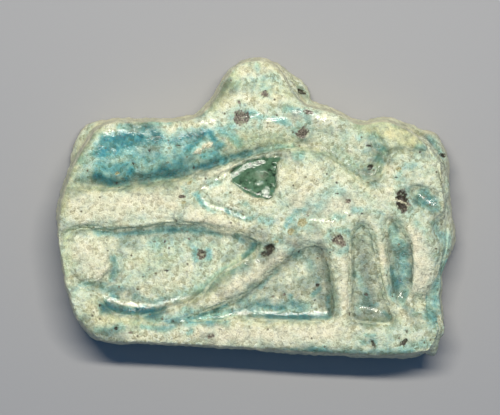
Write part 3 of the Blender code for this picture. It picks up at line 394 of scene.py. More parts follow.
# how the amulet's face is worked over, in millimetres
relief = {
    "faceBottom": 2.05,         # what lies lower belongs to the outer walls
    # how far around a place the face is averaged
    "broadReach": 1.3,          # what lies much lower than this average is a hollow
    "softReach": 0.34,
    "sagReach": 0.36,
    "flankSagReach": 0.75,      # for the walls right of and below the flank's corner, which sagged further
    "wallReach": 0.45,
    "flankCorner": (13.0, -2.5),
    "crescentCorner": (11.8, -2.0),
    # at these x, how far walls move toward the hollow; below zero they draw back and it widens
    "bandShift": ([-16.0, -12.5, -10.5, -8.5, -5.0, -3.0], [0.45, 0.42, 0.35, 0.2, 0.1, 0.15]),
    "fieldShift": ([6.8, 7.6, 11.8, 12.4, 12.9, 13.6], [0.24, 0.06, 0.0, -0.32, -0.3, 0.32]),
    "creaseHalfWidth": 0.7,
    "bandHalfWidth": 0.8,
    "crustHeight": 0.18,
    "hairHeight": 0.1,
    "hairHalfWidth": 0.09,
    "poolFlatness": 0.7,
}

# unevenness of the ware: size in millimetres, where the noise is taken, octaves
unevenness = {
    "wave": (2.2, 3.0, 2),
    "ripple": (0.7, 11.0, 2),
    "fine": (0.24, 29.0, 2),
    "patchy": (1.3, 47.0, 3),
    "driftX": (1.1, 61.0, 2),
    "driftY": (1.1, 83.0, 2),
}

# what is left of the glaze, and how glossy each kind of place is
coating = {
    "mist": 0.075,              # the copper that lies nearly everywhere
    "mistPatches": 0.05,
    "mistLostWhereBare": 0.85,
    "pitHalo": 0.05,            # and more of it around the pits
    "gloss": 0.35,
    "glossOfHollows": 0.5,
    "glossOfCopper": 1.3,
    "glossLostWhereBare": 0.35,
    "glossLostWhereWorn": 0.3,
    "washWander": 0.3,          # the hand that draws the washes is this unsteady, in millimetres
    "strokeWander": 0.1,        # and here for the fine strokes
}

# how glaze turns toward the lamp where it shines
gleam = {
    "slope": 0.1675,            # fall toward +Y of the places that shine, at y = 0
    "slopeChange": -0.0049,     # and how it changes for each millimetre of y, for the lamp is near
    "stations": 9,              # places along a sheen where its slope is averaged
    "stationReach": 0.12,       # as a share of the sheen's length
    "steepest": 0.6,
    "passes": 3,
    "raggedness": 0.03,
}
# the sheens: half width, evenness, then the path from left to right
sheens = [
    # brow
    (0.32, 0.8, [(-12.7, 6.4), (-11.9, 6.6), (-11.1, 6.55)]), (0.19, 0.3, [(-4.8, 7.1), (-3.5, 7.4)]),
    (0.22, 0.3, [(-0.9, 7.75), (0.3, 7.95)]), (0.3, 0.3, [(0.9, 7.45), (2.3, 7.6)]),
    (0.22, 0.3, [(2.9, 8.2), (4.4, 8.05), (5.8, 7.5)]),
    # glass pool, and the corner of the eye
    (0.42, 1.0, [(-2.0, 2.85), (-1.2, 3.3), (-0.4, 3.65), (0.5, 3.9)]),
    (0.2, 0.3, [(1.5, 4.35), (2.1, 4.4)]),
    (0.54, 0.3, [(0.7, 1.3), (1.35, 1.75)]), (0.22, 0.3, [(-4.7, 1.7), (-3.7, 1.75)]),
    (0.26, 0.2, [(-4.7, 0.7), (-4.1, 0.3), (-3.2, 0.0), (-2.0, -0.4), (-1.0, -0.75)]),
    (0.14, 0.3, [(4.4, -1.0), (6.2, -1.05), (7.3, -0.65), (7.7, -0.3)]),
    # left field
    (0.32, 0.5, [(-13.0, -7.6), (-11.8, -7.9), (-10.6, -8.15), (-8.5, -8.2), (-7.3, -7.85)]),
    (0.24, 0.6, [(-6.9, -7.8), (-5.6, -7.6), (-4.6, -7.2)]), (0.41, 0.3, [(-0.7, -4.7), (-0.1, -4.6)]),
    # foot of the teardrop, and the middle field
    (0.24, 0.3, [(-6.4, -9.55), (-3.9, -9.4), (-1.8, -9.1)]),
    (0.36, 0.7, [(-1.6, -9.14), (-0.2, -8.95), (2.0, -9.03), (3.8, -8.92), (6.0, -8.82)]),
    # beside the pool, arched field, crescent, block and curl
    (0.25, 0.4, [(-3.3, 2.5), (-2.5, 2.9)]), (0.22, 0.3, [(8.9, -8.3), (9.8, -8.5), (10.5, -8.8)]),
    (0.27, 0.3, [(12.1, -7.3), (12.8, -7.2)]), (0.27, 0.3, [(14.7, 0.6), (15.0, 0.8)]),
    (0.19, 0.3, [(-12.3, -3.9), (-11.9, -4.4)]),
]


def ease(t):
    t = np.clip(t, 0.0, 1.0)
    return t * t * (3.0 - 2.0 * t)


# 1 on a line, about a third at its half width and soon 0 beyond; a higher power has a sharper edge
def bell(away, halfWidth, power=2):
    return np.exp(-(away / halfWidth) ** power)


def noiseAt(points, size, shift, octaves):
    offset = Vector((shift, shift * 0.7, shift * 1.3))
    return np.array([noise.fractal(Vector(p) / size + offset, 1.0, 2.0, octaves) for p in points])


# a smooth line through a few points, as short steps
def smoothLine(points, closed=False, steps=4):
    p = np.array(points, float)
    if closed:
        p = np.vstack([p[-1:], p, p[:2]])
    else:
        p = np.vstack([2 * p[0] - p[1], p, 2 * p[-1] - p[-2]])
    t = np.linspace(0.0, 1.0, steps, endpoint=False)[:, None]
    line = []
    for a, b, c, d in zip(p, p[1:], p[2:], p[3:]):
        line.append(0.5 * (2 * b + (c - a) * t + (2 * a - 5 * b + 4 * c - d) * t ** 2
                           + (3 * b - a - 3 * c + d) * t ** 3))
    line.append(p[-2:-1])
    return np.vstack(line)


# distance to a line, and how far along it (0 to 1) the nearest place is
def distanceToLine(x, y, line):
    near = np.full(x.shape, np.inf)
    along = np.zeros(x.shape)
    for i, ((ax, ay), (bx, by)) in enumerate(zip(line[:-1], line[1:])):
        dx, dy = bx - ax, by - ay
        t = np.clip(((x - ax) * dx + (y - ay) * dy) / (dx * dx + dy * dy + 1e-12), 0.0, 1.0)
        away = np.hypot(x - ax - t * dx, y - ay - t * dy)
        closer = away < near
        near = np.where(closer, away, near)
        along = np.where(closer, (i + t) / (len(line) - 1), along)
    return near, along


def insideOutline(x, y, line):
    inside = np.zeros(x.shape, bool)
    for (ax, ay), (bx, by) in zip(line, np.roll(line, -1, axis=0)):
        if ay != by:
            inside ^= ((ay > y) != (by > y)) & (x < ax + (y - ay) * (bx - ax) / (by - ay))
    return inside


# 0 at the middle of an ellipse, 1 on it, with a ragged edge
def ellipseRadius(x, y, cx, cy, rx, ry, turn, raggedness):
    c, s = math.cos(math.radians(turn)), math.sin(math.radians(turn))
    u = (x - cx) * c + (y - cy) * s
    v = (y - cy) * c - (x - cx) * s
    return np.hypot(u / rx, v / ry) * (1.0 + raggedness)


# lays soft strokes over one another; where they cross, the stronger one shows
def washOver(x, y, layer):
    total = np.zeros(x.shape)
    for amount, halfWidth, path in layer:
        reach = 2.2 * halfWidth
        low, high = np.min(path, axis=0) - reach, np.max(path, axis=0) + reach
        close = np.flatnonzero((x > low[0]) & (x < high[0]) & (y > low[1]) & (y < high[1]))
        away = distanceToLine(x[close], y[close], smoothLine(path, steps=3))[0]
        total[close] += (amount * bell(away, halfWidth)) ** 3
    return np.cbrt(total)


# what an object's modifiers make of it, as a mesh of its own
def finished(thing):
    mesh = bpy.data.meshes.new_from_object(thing.evaluated_get(bpy.context.evaluated_depsgraph_get()))
    bpy.data.objects.remove(thing)
    return mesh


# the CAD solid as one closed skin of fine, even faces, with the flat back left coarse
def makeSkin(settings):
    bm = bmesh.new()
    bm.from_mesh(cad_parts[settings["node"]].data)
    bmesh.ops.remove_doubles(bm, verts=bm.verts, dist=1e-6)
    bmesh.ops.scale(bm, vec=Vector((1, 1, 1)) / mm, verts=bm.verts)
    mesh = bpy.data.meshes.new("solid")
    bm.to_mesh(mesh)
    bm.free()
    solid = bpy.data.objects.new("solid", mesh)
    bpy.context.scene.collection.objects.link(solid)
    remesh = solid.modifiers.new("Skin", "REMESH")
    remesh.mode = "VOXEL"
    remesh.voxel_size = settings["voxel"]
    soften = solid.modifiers.new("Soften", "SMOOTH")
    soften.iterations = settings["softenPasses"]

    whole = bpy.data.objects.new("whole", finished(solid))
    bpy.context.scene.collection.objects.link(whole)
    back = whole.vertex_groups.new(name="back")
    back.add([v.index for v in whole.data.vertices if v.co.z < settings["backTop"]], 1.0, "REPLACE")
    thin = whole.modifiers.new("Thin back", "DECIMATE")
    thin.vertex_group = "back"
    thin.ratio = settings["backShare"]
    return finished(whole)


def readPoints(mesh):
    points = np.empty(len(mesh.vertices) * 3)
    mesh.vertices.foreach_get("co", points)
    normals = np.empty(len(mesh.vertices) * 3)
    mesh.vertices.foreach_get("normal", normals)
    return points.reshape(-1, 3), normals.reshape(-1, 3)


def writePoints(mesh, points):
    mesh.vertices.foreach_set("co", points.ravel())
    mesh.update()


# height of the face on an even grid, so that hollows and ridges can be found
class HeightMap:
    def __init__(self, points, normals, cell, faceBottom):
        face = points[(normals[:, 2] > 0.25) & (points[:, 2] > faceBottom)]
        margin = 2.0
        self.cell = cell
        self.low = points[:, :2].min(axis=0) - margin
        size = np.ceil((points[:, :2].max(axis=0) + margin - self.low) / cell).astype(int)
        ij = np.floor((face[:, :2] - self.low) / cell).astype(int)
        self.height = np.zeros(size)
        self.there = np.zeros(size)
        np.maximum.at(self.height, (ij[:, 0], ij[:, 1]), face[:, 2])
        self.there[ij[:, 0], ij[:, 1]] = 1.0

    def softened(self, grid, radius):
        fx = np.fft.fftfreq(grid.shape[0], self.cell)[:, None]
        fy = np.fft.rfftfreq(grid.shape[1], self.cell)[None, :]
        window = np.exp(-2.0 * (math.pi * radius) ** 2 * (fx ** 2 + fy ** 2))
        return np.fft.irfft2(np.fft.rfft2(grid) * window, grid.shape)

    # mean height around each place, over a round neighbourhood
    def around(self, x, y, radius):
        weight = np.maximum(self.softened(self.there, radius), 1e-3)
        return self.sample(self.softened(self.height * self.there, radius) / weight, x, y)

    # which way the face falls at each place, toward +X and toward +Y
    def fall(self, x, y, radius, step=0.15):
        alongX = self.around(x - step, y, radius) - self.around(x + step, y, radius)
        alongY = self.around(x, y - step, radius) - self.around(x, y + step, radius)
        return alongX / (2 * step), alongY / (2 * step)

    # 1 well inside the rim of the face, 0 at the rim and on the outer walls
    def insideRim(self, x, y):
        return ease((self.sample(self.softened(self.there, 0.35), x, y) - 0.5) / 0.4)

    def sample(self, grid, x, y):
        u = np.clip((x - self.low[0]) / self.cell - 0.5, 0, grid.shape[0] - 1.001)
        v = np.clip((y - self.low[1]) / self.cell - 0.5, 0, grid.shape[1] - 1.001)
        i, j = u.astype(int), v.astype(int)
        a, b = u - i, v - j
        return ((grid[i, j] * (1 - a) + grid[i + 1, j] * a) * (1 - b)
                + (grid[i, j + 1] * (1 - a) + grid[i + 1, j + 1] * a) * b)


# turns the glaze along each sheen toward the lamp, and returns where it shines
def turnToLamp(mesh, x, y, upward, raggedness, settings):
    shine = np.zeros(len(x))
    stations = np.linspace(0.0, 1.0, settings["stations"])
    for step in range(settings["passes"]):
        points, normals = readPoints(mesh)
        slope = normals[:, 1] / np.maximum(normals[:, 2], 0.3)
        for halfWidth, evenness, path in sheens:
            line = smoothLine(path)
            margin = 2.0 * halfWidth
            close = np.flatnonzero((x > line[0, 0] - margin) & (x < line[-1, 0] + margin) & (upward > 0.3)
                                   & (y > line[:, 1].min() - margin) & (y < line[:, 1].max() + margin))
            away, along = distanceToLine(x[close], y[close], line)
            over = y[close] - np.interp(x[close], line[:, 0], line[:, 1])
            weight = bell(along[:, None] - stations, settings["stationReach"])
            weight *= (away < 0.5 * halfWidth)[:, None]
            total = weight.sum(axis=0) + 1e-6
            wanted = settings["slope"] + settings["slopeChange"] * y[close]
            cover = bell(away, halfWidth, 6)
            if step == 0:
                # the first pass evens out the glaze under the sheen
                z = points[close, 2]
                level = (weight * z[:, None]).sum(axis=0) / total
                even = np.interp(along, stations, level) - wanted * over
                points[close, 2] += evenness * (even - z) * cover
            else:
                mean = (weight * slope[close][:, None]).sum(axis=0) / total
                turn = wanted - np.interp(along, stations, mean)
                turn = np.clip(turn, -settings["steepest"], settings["steepest"])
                points[close, 2] -= turn * over * cover
            ragged = bell(away, halfWidth) + raggedness[close]
            shine[close] = np.maximum(shine[close], ease((ragged - 0.25) / 0.35))
        if step == settings["passes"] - 1:
            points[:, 2] += settings["raggedness"] * raggedness * shine
        writePoints(mesh, points)
    return shine * upward


# depth of the fine strokes, which fade toward their ends
def strokeDepth(x, y, ripple):
    cut = np.zeros(len(x))
    for halfWidth, depth, path in strokes.values():
        away, along = distanceToLine(x, y, smoothLine(path))
        ends = ease(along / 0.12) * ease((1.0 - along) / 0.12)
        cut += depth * bell(away, halfWidth) * ends * (1.0 + 0.5 * ripple)
    return cut


# sinks the large pits with a slight lip, marks their colours, and returns the halo of glaze around them
def sinkPits(x, y, ripple, fine, upward, lift, marks):
    halo = np.zeros(len(x))
    for cx, cy, rx, ry, turn, depth, kind in pits:
        radius = ellipseRadius(x, y, cx, cy, rx, ry, turn, 0.3 * ripple + 0.25 * fine)
        lift += depth * upward * (0.18 * bell(radius - 1.35, 0.25) - ease(1.25 - radius))
        marks[kind] = np.maximum(marks[kind], ease(1.5 - radius))
        halo = np.maximum(halo, bell(radius - 1.4, 0.7) * min(1.0, rx / 0.4))
    return halo


# small pocks all over the face, a few of them dark
def scatterPocks(x, y, inside, upward, lift, marks, settings):
    rng = np.random.default_rng(settings["seed"])
    for index in rng.choice(np.flatnonzero(inside > 0.5), settings["pocks"], replace=False):
        size = rng.uniform(*settings["pockSize"])
        depth = rng.uniform(*settings["pockDepth"])
        dark = rng.random() < settings["darkPocks"]
        close = np.flatnonzero((np.abs(x - x[index]) < 0.5) & (np.abs(y - y[index]) < 0.5) & (upward > 0))
        radius = np.hypot(x[close] - x[index], y[close] - y[index]) / size
        lift[close] -= depth * ease(1.2 - radius)
        if dark:
            marks["black"][close] = np.maximum(marks["black"][close], 0.7 * ease((1.3 - radius) / 0.8))


# heaps the crust on the brow and lays the glint's strand over the largest pit, and returns where they are
# white: the crust's own colour and a painted glint
def addCrust(x, y, ripple, fine, lift, settings):
    white = np.zeros(len(x))
    for cx, cy, rx, ry, turn in crust:
        radius = ellipseRadius(x, y, cx, cy, rx, ry, turn, 0.4 * ripple + 0.4 * fine)
        heap = ease((1.2 - radius) / 0.5)
        lift += settings["crustHeight"] * heap * (1.0 + fine)
        white = np.maximum(white, heap)
    strand = bell(distanceToLine(x, y, smoothLine(hair))[0], settings["hairHalfWidth"])
    lift += settings["hairHeight"] * strand
    return np.maximum(white, strand)


# levels the pool of glass, and returns where it is glass
def fillPool(x, y, z, ripple, fine, inside, upward, lift, settings):
    pool = smoothLine(glassPool, closed=True)
    away = distanceToLine(x, y, pool)[0]
    within = insideOutline(x, y, pool)
    depth = np.where(within, away, -away) + 0.1 * ripple + 0.1 * fine
    level = z[within & (upward > 0.9)].mean()
    filled = settings["poolFlatness"] * (level - z) + 0.02 * ripple
    lift += (filled - lift) * ease((depth + 0.15) / 0.3) * inside
    return ease((depth + 0.06) / 0.14) * inside


def setAttributes(mesh, **values):
    for name, value in values.items():
        layer = mesh.attributes.new(name, "FLOAT", "POINT")
        layer.data.foreach_set("value", np.clip(value, 0.0, 1.0).astype(np.float32))


def sculpt(mesh, ware, shape, coat):
    points, normals = readPoints(mesh)
    x, y, z = points.T.copy()
    heights = HeightMap(points, normals, ware["cell"], shape["faceBottom"])
    soft = heights.around(x, y, shape["softReach"])

    # shares that run from 0 to 1: on the face and away from its rim, on what looks up, on the flat back
    inside = heights.insideRim(x, y) * ease((z - shape["faceBottom"]) / 0.4)
    upward = ease((normals[:, 2] - 0.15) / 0.4) * ease((z - 1.2) / 0.5)
    onBack = ease((0.4 - z) / 0.2)
    hollow = (heights.around(x, y, shape["broadReach"]) - soft) * inside
    print("height map read")

    wave, ripple, fine, patchy, driftX, driftY = (noiseAt(points, *values) for values in unevenness.values())
    print("noise laid")

    # glaze gathers at the foot of walls, handling wears ridges, and the lower fields' walls have sagged
    crisp = bell(distanceToLine(x, y, smoothLine(browCrease))[0], shape["creaseHalfWidth"], 4)
    sag = soft - z
    lift = np.where(sag > 0.0, ware["pooling"] * (1.0 - crisp), ware["wearing"]) * sag * inside
    flankLeft, flankTop = shape["flankCorner"]
    flank = ease((x - flankLeft) / 0.8) * ease((flankTop - y) / 1.5)
    sagged = heights.around(x, y, shape["sagReach"])
    sagged += flank * (heights.around(x, y, shape["flankSagReach"]) - sagged)
    low = ease((-1.0 - y + 0.06 * np.minimum(x, 0.0)) / 0.5)
    lift += low * (ware["fieldSoftness"] * (sagged - z) * inside - lift)

    wander = coat["strokeWander"]
    lift -= strokeDepth(x + wander * driftX, y + wander * driftY, ripple) * upward
    marks = {kind: np.zeros(len(points)) for kind in ("manganese", "ochre", "black")}
    halo = sinkPits(x, y, ripple, fine, upward, lift, marks)
    scatterPocks(x, y, inside, upward, lift, marks, ware)
    white = addCrust(x, y, ripple, fine, lift, shape)
    glass = fillPool(x, y, z, ripple, fine, inside, upward, lift, shape)

    # the washes are drawn with an unsteady hand
    px, py = x + coat["washWander"] * driftX, y + coat["washWander"] * driftY
    copper, murk, straw, rose, bare = (washOver(px, py, layer) * upward for layer in washes.values())

    # ridges are worn dry, hollows stay wet with glaze, and the surface is smoother where glaze is thick
    wear = ease((-hollow - 0.02) / 0.25)
    wet = ease((hollow - 0.1) / 0.55)
    smooth = np.clip(0.6 * wet + glass + 1.2 * copper, 0.0, 1.0)
    lift += ware["grain"] * fine * (1.0 - 0.5 * smooth) * (1.0 - 0.65 * glass)
    lift += ware["waviness"] * wave * (1.0 - 0.7 * glass)
    lift += ware["rippling"] * ripple * (1.0 - 0.6 * smooth) * (1.0 - 0.5 * glass)
    lift += ware["wallWaviness"] * 0.5 * (wave + ripple) * (1.0 - upward)
    lift *= 1.0 - onBack
    outward = normals * (1.0 - upward)[:, None] + np.array([0.0, 0.0, 1.0]) * upward[:, None]
    points += outward * lift[:, None]

    # every edge wobbles, and the walls under the band and of the lower fields move in or out
    nearBand = bell(distanceToLine(x, y, smoothLine(bandFoot))[0], shape["bandHalfWidth"], 4)
    crescentLeft, crescentTop = shape["crescentCorner"]
    lower = np.where(x > crescentLeft, ease((crescentTop - y) / 1.5), low)
    shift = lower * np.interp(x, *shape["fieldShift"]) + nearBand * np.interp(x, *shape["bandShift"])
    shift *= inside
    fallX, fallY = heights.fall(x, y, shape["wallReach"])
    points[:, 0] += ware["wobble"] * driftX + shift * fallX
    points[:, 1] += ware["wobble"] * driftY + shift * fallY
    points[:, 2] = np.maximum(points[:, 2], 0.0)
    writePoints(mesh, points)
    shine = turnToLamp(mesh, px, y, upward, 0.45 * ripple + 0.4 * fine, gleam)
    print("relief worked over")

    mist = (coat["mist"] + coat["mistPatches"] * patchy) * (1.0 - coat["mistLostWhereBare"] * bare)
    gloss = coat["gloss"] + coat["glossOfHollows"] * wet + coat["glossOfCopper"] * copper + glass
    gloss = gloss - coat["glossLostWhereBare"] * bare - coat["glossLostWhereWorn"] * wear
    setAttributes(
        mesh,
        copper=np.maximum(copper * (1.0 + 0.25 * patchy), mist) + coat["pitHalo"] * halo * upward,
        # painted shade from the washes, and a little more of it in wet hollows
        murk=1.25 * murk * (1.0 + 0.3 * patchy) + 0.08 * wet * (1.0 - bare) + 0.1 * patchy,
        straw=straw + 0.15 * patchy,
        rose=rose,
        glass=glass,
        gloss=gloss * (1.0 - 0.9 * crisp) * (1.0 - 0.6 * low * (1.0 - shine)) + shine,
        white=white * upward,
        wall=ease((0.85 - normals[:, 2]) / 0.5) * (1.0 - onBack) * (1.0 - inside),
        **{kind: mark * upward for kind, mark in marks.items()})


# material helpers
def addNode(tree, kind, **values):
    node = tree.nodes.new(kind)
    for key, value in values.items():
        setattr(node, key, value)
    return node


def feed(tree, socket, value):
    if isinstance(value, bpy.types.NodeSocket):
        tree.links.new(value, socket)
    else:
        socket.default_value = value


def attributeOf(tree, name):
    return addNode(tree, "ShaderNodeAttribute", attribute_name=name).outputs["Fac"]


def noiseOf(tree, place, scale, detail=3.0, roughness=0.55):
    node = addNode(tree, "ShaderNodeTexNoise")
    tree.links.new(place, node.inputs["Vector"])
    node.inputs["Scale"].default_value = scale * perMm
    node.inputs["Detail"].default_value = detail
    node.inputs["Roughness"].default_value = roughness
    return node.outputs["Fac"]


def cellsOf(tree, place, scale, feature="F1"):
    node = addNode(tree, "ShaderNodeTexVoronoi", feature=feature)
    tree.links.new(place, node.inputs["Vector"])
    node.inputs["Scale"].default_value = scale * perMm
    return node


def redOf(tree, colour):
    node = addNode(tree, "ShaderNodeSeparateColor")
    tree.links.new(colour, node.inputs["Color"])
    return node.outputs[0]


def calc(tree, operation, a, b=0.0, clamp=False):
    node = addNode(tree, "ShaderNodeMath", operation=operation, use_clamp=clamp)
    feed(tree, node.inputs[0], a)
    feed(tree, node.inputs[1], b)
    return node.outputs[0]


# a value that a noise moves up and down by up to half of strength
def varied(tree, value, noiseValue, strength, clamp=False):
    centred = calc(tree, "MULTIPLY", calc(tree, "SUBTRACT", noiseValue, 0.5), strength)
    return calc(tree, "ADD", value, centred, clamp)


def spread(tree, value, low, high, toLow=0.0, toHigh=1.0):
    node = addNode(tree, "ShaderNodeMapRange", clamp=True)
    tree.links.new(value, node.inputs["Value"])
    for name, number in (("From Min", low), ("From Max", high), ("To Min", toLow), ("To Max", toHigh)):
        node.inputs[name].default_value = number
    return node.outputs["Result"]


def rampOf(tree, value, stops):
    node = addNode(tree, "ShaderNodeValToRGB")
    ramp = node.color_ramp
    while len(ramp.elements) < len(stops):
        ramp.elements.new(0.5)
    for element, (position, colour) in zip(ramp.elements, stops):
        element.position = position
        element.color = (*colour, 1.0)
    tree.links.new(value, node.inputs["Fac"])
    return node.outputs["Color"]


def mixed(tree, share, a, b, blend="MIX"):
    node = addNode(tree, "ShaderNodeMix", data_type="RGBA", blend_type=blend)
    feed(tree, node.inputs["Factor"], share)
    for socket, colour in ((node.inputs[6], a), (node.inputs[7], b)):
        feed(tree, socket, (*colour, 1.0) if isinstance(colour, tuple) else colour)
    return node.outputs[2]


# glazed quartz ware: a cream body of grains under a thin glaze that copper turns blue;
# a list of colours runs from the darkest of its grains to the lightest
faience = {
    "grains": [(0.0, (0.5, 0.475, 0.29)), (0.18, (0.73, 0.7, 0.45)), (0.4, (0.86, 0.83, 0.56)),
               (0.7, (0.94, 0.92, 0.64)), (1.0, (0.98, 0.965, 0.72))],
    "straw": (0.84, 0.8, 0.4),
    "rose": (1.0, 0.93, 0.69),
    "copper": (3.6, 1.3, 0.6),     # how strongly a full coat takes away red, green and blue
    "murk": (1.08, 1.0, 0.95),     # the same for painted shade and thick grey glaze
    "glass": [(0.3, (0.02, 0.04, 0.02)), (0.42, (0.075, 0.155, 0.08)), (0.6, (0.125, 0.235, 0.13)),
              (0.72, (0.1, 0.225, 0.16))],
    "manganese": [(0.36, (0.03, 0.022, 0.016)), (0.48, (0.1, 0.075, 0.055)), (0.62, (0.33, 0.28, 0.21))],
    "black": [(0.4, (0.014, 0.012, 0.008)), (0.62, (0.07, 0.055, 0.035))],
    "ochre": [(0.38, (0.22, 0.19, 0.07)), (0.5, (0.38, 0.35, 0.15)), (0.62, (0.6, 0.58, 0.34))],
    "white": [(0.38, (0.34, 0.29, 0.13)), (0.46, (0.82, 0.79, 0.52)), (0.6, (0.97, 0.95, 0.7))],
    "wall": (0.74, 0.69, 0.46),
    "dirt": (0.16, 0.14, 0.08),
    "dustTones": ((0.57, 0.56, 0.5), (1.44, 1.44, 1.44)),   # what the finest grains leave of a colour
    "wornThrough": 0.7,         # most that straw or rose hides of the grains
    "roughness": (0.65, 0.12),  # dry body, and wet glaze
    "glassPolish": 0.6,         # what is left of the roughness on the glass pool
    "bumpHeight": 0.07,         # in millimetres
    # how many of each there are in a millimetre
    "cloud": 1.0,
    "blotch": 2.4,
    "grain": 5.0,
    "dust": 10.0,
    "cells": 3.4,
    "specks": 1.9,
    "seams": 2.3,
}


# what a coat of glaze lets through, from none to a full coat
def coatOf(tree, thickness, absorbs, steps=6):
    shares = [i / steps for i in range(steps + 1)]
    stops = [(share, tuple(math.exp(-strength * share) for strength in absorbs)) for share in shares]
    return rampOf(tree, thickness, stops)


def faienceMaterial(look):
    material = bpy.data.materials.new("glazedWare")
    material.use_nodes = True
    tree = material.node_tree
    shader = tree.nodes["Principled BSDF"]
    place = addNode(tree, "ShaderNodeTexCoord").outputs["Object"]
    copper = attributeOf(tree, "copper")
    murk = attributeOf(tree, "murk")
    glass = attributeOf(tree, "glass")
    gloss = attributeOf(tree, "gloss")

    cloud = noiseOf(tree, place, look["cloud"], 2.0, 0.5)
    blotch = noiseOf(tree, place, look["blotch"], 2.0, 0.5)
    grain = noiseOf(tree, place, look["grain"], 2.0, 0.6)
    dust = noiseOf(tree, place, look["dust"], 1.0, 0.6)
    cells = cellsOf(tree, place, look["cells"])
    kind = redOf(tree, cells.outputs["Color"])

    # bare body
    grainTone = varied(tree, varied(tree, kind, grain, 1.2), blotch, 0.8, clamp=True)
    colour = rampOf(tree, grainTone, look["grains"])
    strawShare = varied(tree, attributeOf(tree, "straw"), cloud, 0.5, clamp=True)
    colour = mixed(tree, calc(tree, "MULTIPLY", strawShare, look["wornThrough"]), colour, look["straw"])
    roseShare = varied(tree, attributeOf(tree, "rose"), blotch, 0.6, clamp=True)
    colour = mixed(tree, calc(tree, "MULTIPLY", roseShare, look["wornThrough"]), colour, look["rose"])

    # the glaze over it: blue where copper gathered, with a little painted bluish shade and reflection, then
    # darker where painted shade is laid and where it is thick or dirty
    uneven = varied(tree, varied(tree, varied(tree, 1.0, cloud, 1.1), blotch, 0.6), grain, 0.5)
    coat = varied(tree, calc(tree, "MULTIPLY", copper, uneven), cloud, 0.1, clamp=True)
    colour = mixed(tree, 1.0, colour, coatOf(tree, coat, look["copper"]), "MULTIPLY")
    cloudy = varied(tree, varied(tree, varied(tree, murk, cloud, 0.4), blotch, 1.0), grain, 0.6, clamp=True)
    colour = mixed(tree, 1.0, colour, coatOf(tree, cloudy, look["murk"]), "MULTIPLY")
    colour = mixed(tree, 1.0, colour, mixed(tree, dust, *look["dustTones"]), "MULTIPLY")

    # specks of metal oxide and dirt between the grains
    specks = cellsOf(tree, place, look["specks"])
    near = spread(tree, specks.outputs["Distance"], 0.1, 0.24, 1.0, 0.0)
    few = spread(tree, redOf(tree, specks.outputs["Color"]), 0.82, 0.9)
    colour = mixed(tree, calc(tree, "MULTIPLY", near, few), colour, look["dirt"])
    edges = cellsOf(tree, place, look["seams"], "DISTANCE_TO_EDGE").outputs["Distance"]
    seams = spread(tree, edges, 0.02, 0.09, 1.0, 0.0)
    seams = calc(tree, "MULTIPLY", seams, spread(tree, blotch, 0.5, 0.64, 0.0, 0.45))
    colour = mixed(tree, seams, colour, look["dirt"])

    colour = mixed(tree, glass, colour, rampOf(tree, blotch, look["glass"]))
    wall = calc(tree, "MULTIPLY", attributeOf(tree, "wall"), spread(tree, cloud, 0.35, 0.6, 0.3, 0.9))
    colour = mixed(tree, wall, colour, look["wall"])
    for name in ("ochre", "manganese", "black", "white"):
        mark = attributeOf(tree, name)
        ragged = varied(tree, varied(tree, mark, grain, 2.4), blotch, 1.2)
        covered = spread(tree, ragged, 0.3, 0.8, 0.0, 0.95)
        share = calc(tree, "MULTIPLY", covered, spread(tree, mark, 0.08, 0.35))
        colour = mixed(tree, share, colour, rampOf(tree, dust, look[name]))
    tree.links.new(colour, shader.inputs["Base Color"])

    rough = spread(tree, varied(tree, gloss, grain, 1.7), 0.1, 0.95, *look["roughness"])
    rough = calc(tree, "MULTIPLY", rough, spread(tree, glass, 0.0, 1.0, 1.0, look["glassPolish"]))
    tree.links.new(rough, shader.inputs["Roughness"])

    bump = addNode(tree, "ShaderNodeBump")
    bump.inputs["Distance"].default_value = look["bumpHeight"] * mm
    height = calc(tree, "ADD", grain, calc(tree, "MULTIPLY", dust, 0.4))
    height = calc(tree, "SUBTRACT", height, calc(tree, "MULTIPLY", cells.outputs["Distance"], 0.5))
    tree.links.new(height, bump.inputs["Height"])
    tree.links.new(spread(tree, gloss, 0.1, 1.0, 1.0, 0.25), bump.inputs["Strength"])
    tree.links.new(bump.outputs["Normal"], shader.inputs["Normal"])
    return material


skin = makeSkin(amulet)
skin.calc_loop_triangles()
print("skin made:", len(skin.loop_triangles), "triangles")
sculpt(skin, amulet, relief, coating)
skin.transform(Matrix.Scale(mm, 4))
skin.materials.clear()
skin.materials.append(faienceMaterial(faience))
skin.shade_smooth()
skin.name = "amuletSkin"
amuletPiece = bpy.data.objects.new("amulet_skin", skin)
bpy.context.scene.collection.objects.link(amuletPiece)
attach(amuletPiece, "root")
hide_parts("wedjat_amulet")
print("amulet finished")

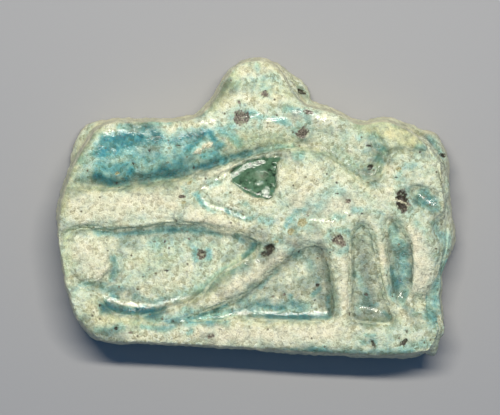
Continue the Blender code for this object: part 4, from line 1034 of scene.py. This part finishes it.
# the paper that it lies on, the lamp and the camera
table = {
    "size": 0.6,
    "drop": 0.00002,            # just below the flat back
    "grey": (0.415, 0.415, 0.41),
}
lamp = {
    "distance": 0.15,
    "elevation": 71.0,
    "sideways": 0.004,
    "length": 0.12,
    "width": 0.012,
    "power": 0.234,
    "colour": (1.0, 0.945, 0.865),
}
skyFill = {"colour": (0.25, 0.52, 1.0), "strength": 0.21}
viewer = {
    "height": 0.3,
    "aim": (-0.000515, 0.000064),
    "frameWidthPixels": 500,
    "pixel": 0.00008586,        # metres of paper that one pixel covers
}


def makeFloor(settings):
    bm = bmesh.new()
    bmesh.ops.create_grid(bm, x_segments=1, y_segments=1, size=settings["size"] / 2)
    bmesh.ops.translate(bm, vec=(0.0, 0.0, -settings["drop"]), verts=bm.verts)
    mesh = bpy.data.meshes.new("floor")
    bm.to_mesh(mesh)
    bm.free()
    material = bpy.data.materials.new("paper")
    material.use_nodes = True
    shader = material.node_tree.nodes["Principled BSDF"]
    shader.inputs["Base Color"].default_value = (*settings["grey"], 1.0)
    shader.inputs["Roughness"].default_value = 0.9
    mesh.materials.append(material)
    floor = bpy.data.objects.new("floor", mesh)
    bpy.context.scene.collection.objects.link(floor)


def makeLamp(settings):
    light = bpy.data.lights.new("lamp", "AREA")
    light.shape = "RECTANGLE"
    light.size = settings["length"]
    light.size_y = settings["width"]
    light.energy = settings["power"]
    light.color = settings["colour"]
    tilt = math.radians(settings["elevation"])
    toward = Vector((0.0, math.cos(tilt), math.sin(tilt)))
    holder = bpy.data.objects.new("lamp", light)
    holder.location = toward * settings["distance"] + Vector((settings["sideways"], 0.0, 0.0))
    holder.rotation_euler = (-holder.location).to_track_quat("-Z", "Y").to_euler()
    bpy.context.scene.collection.objects.link(holder)


def makeSky(settings):
    world = bpy.data.worlds.new("sky")
    world.use_nodes = True
    background = world.node_tree.nodes["Background"]
    background.inputs["Color"].default_value = (*settings["colour"], 1.0)
    background.inputs["Strength"].default_value = settings["strength"]
    bpy.context.scene.world = world


def makeCamera(settings):
    data = bpy.data.cameras.new("camera")
    data.sensor_fit = "HORIZONTAL"
    data.lens = data.sensor_width * settings["height"] / (settings["frameWidthPixels"] * settings["pixel"])
    data.clip_start = 0.01
    camera = bpy.data.objects.new("camera", data)
    camera.location = (*settings["aim"], settings["height"])
    bpy.context.scene.collection.objects.link(camera)
    bpy.context.scene.camera = camera


makeFloor(table)
makeLamp(lamp)
makeSky(skyFill)
makeCamera(viewer)
bpy.context.scene.view_settings.view_transform = "Standard"
print("table, lamp and camera set")
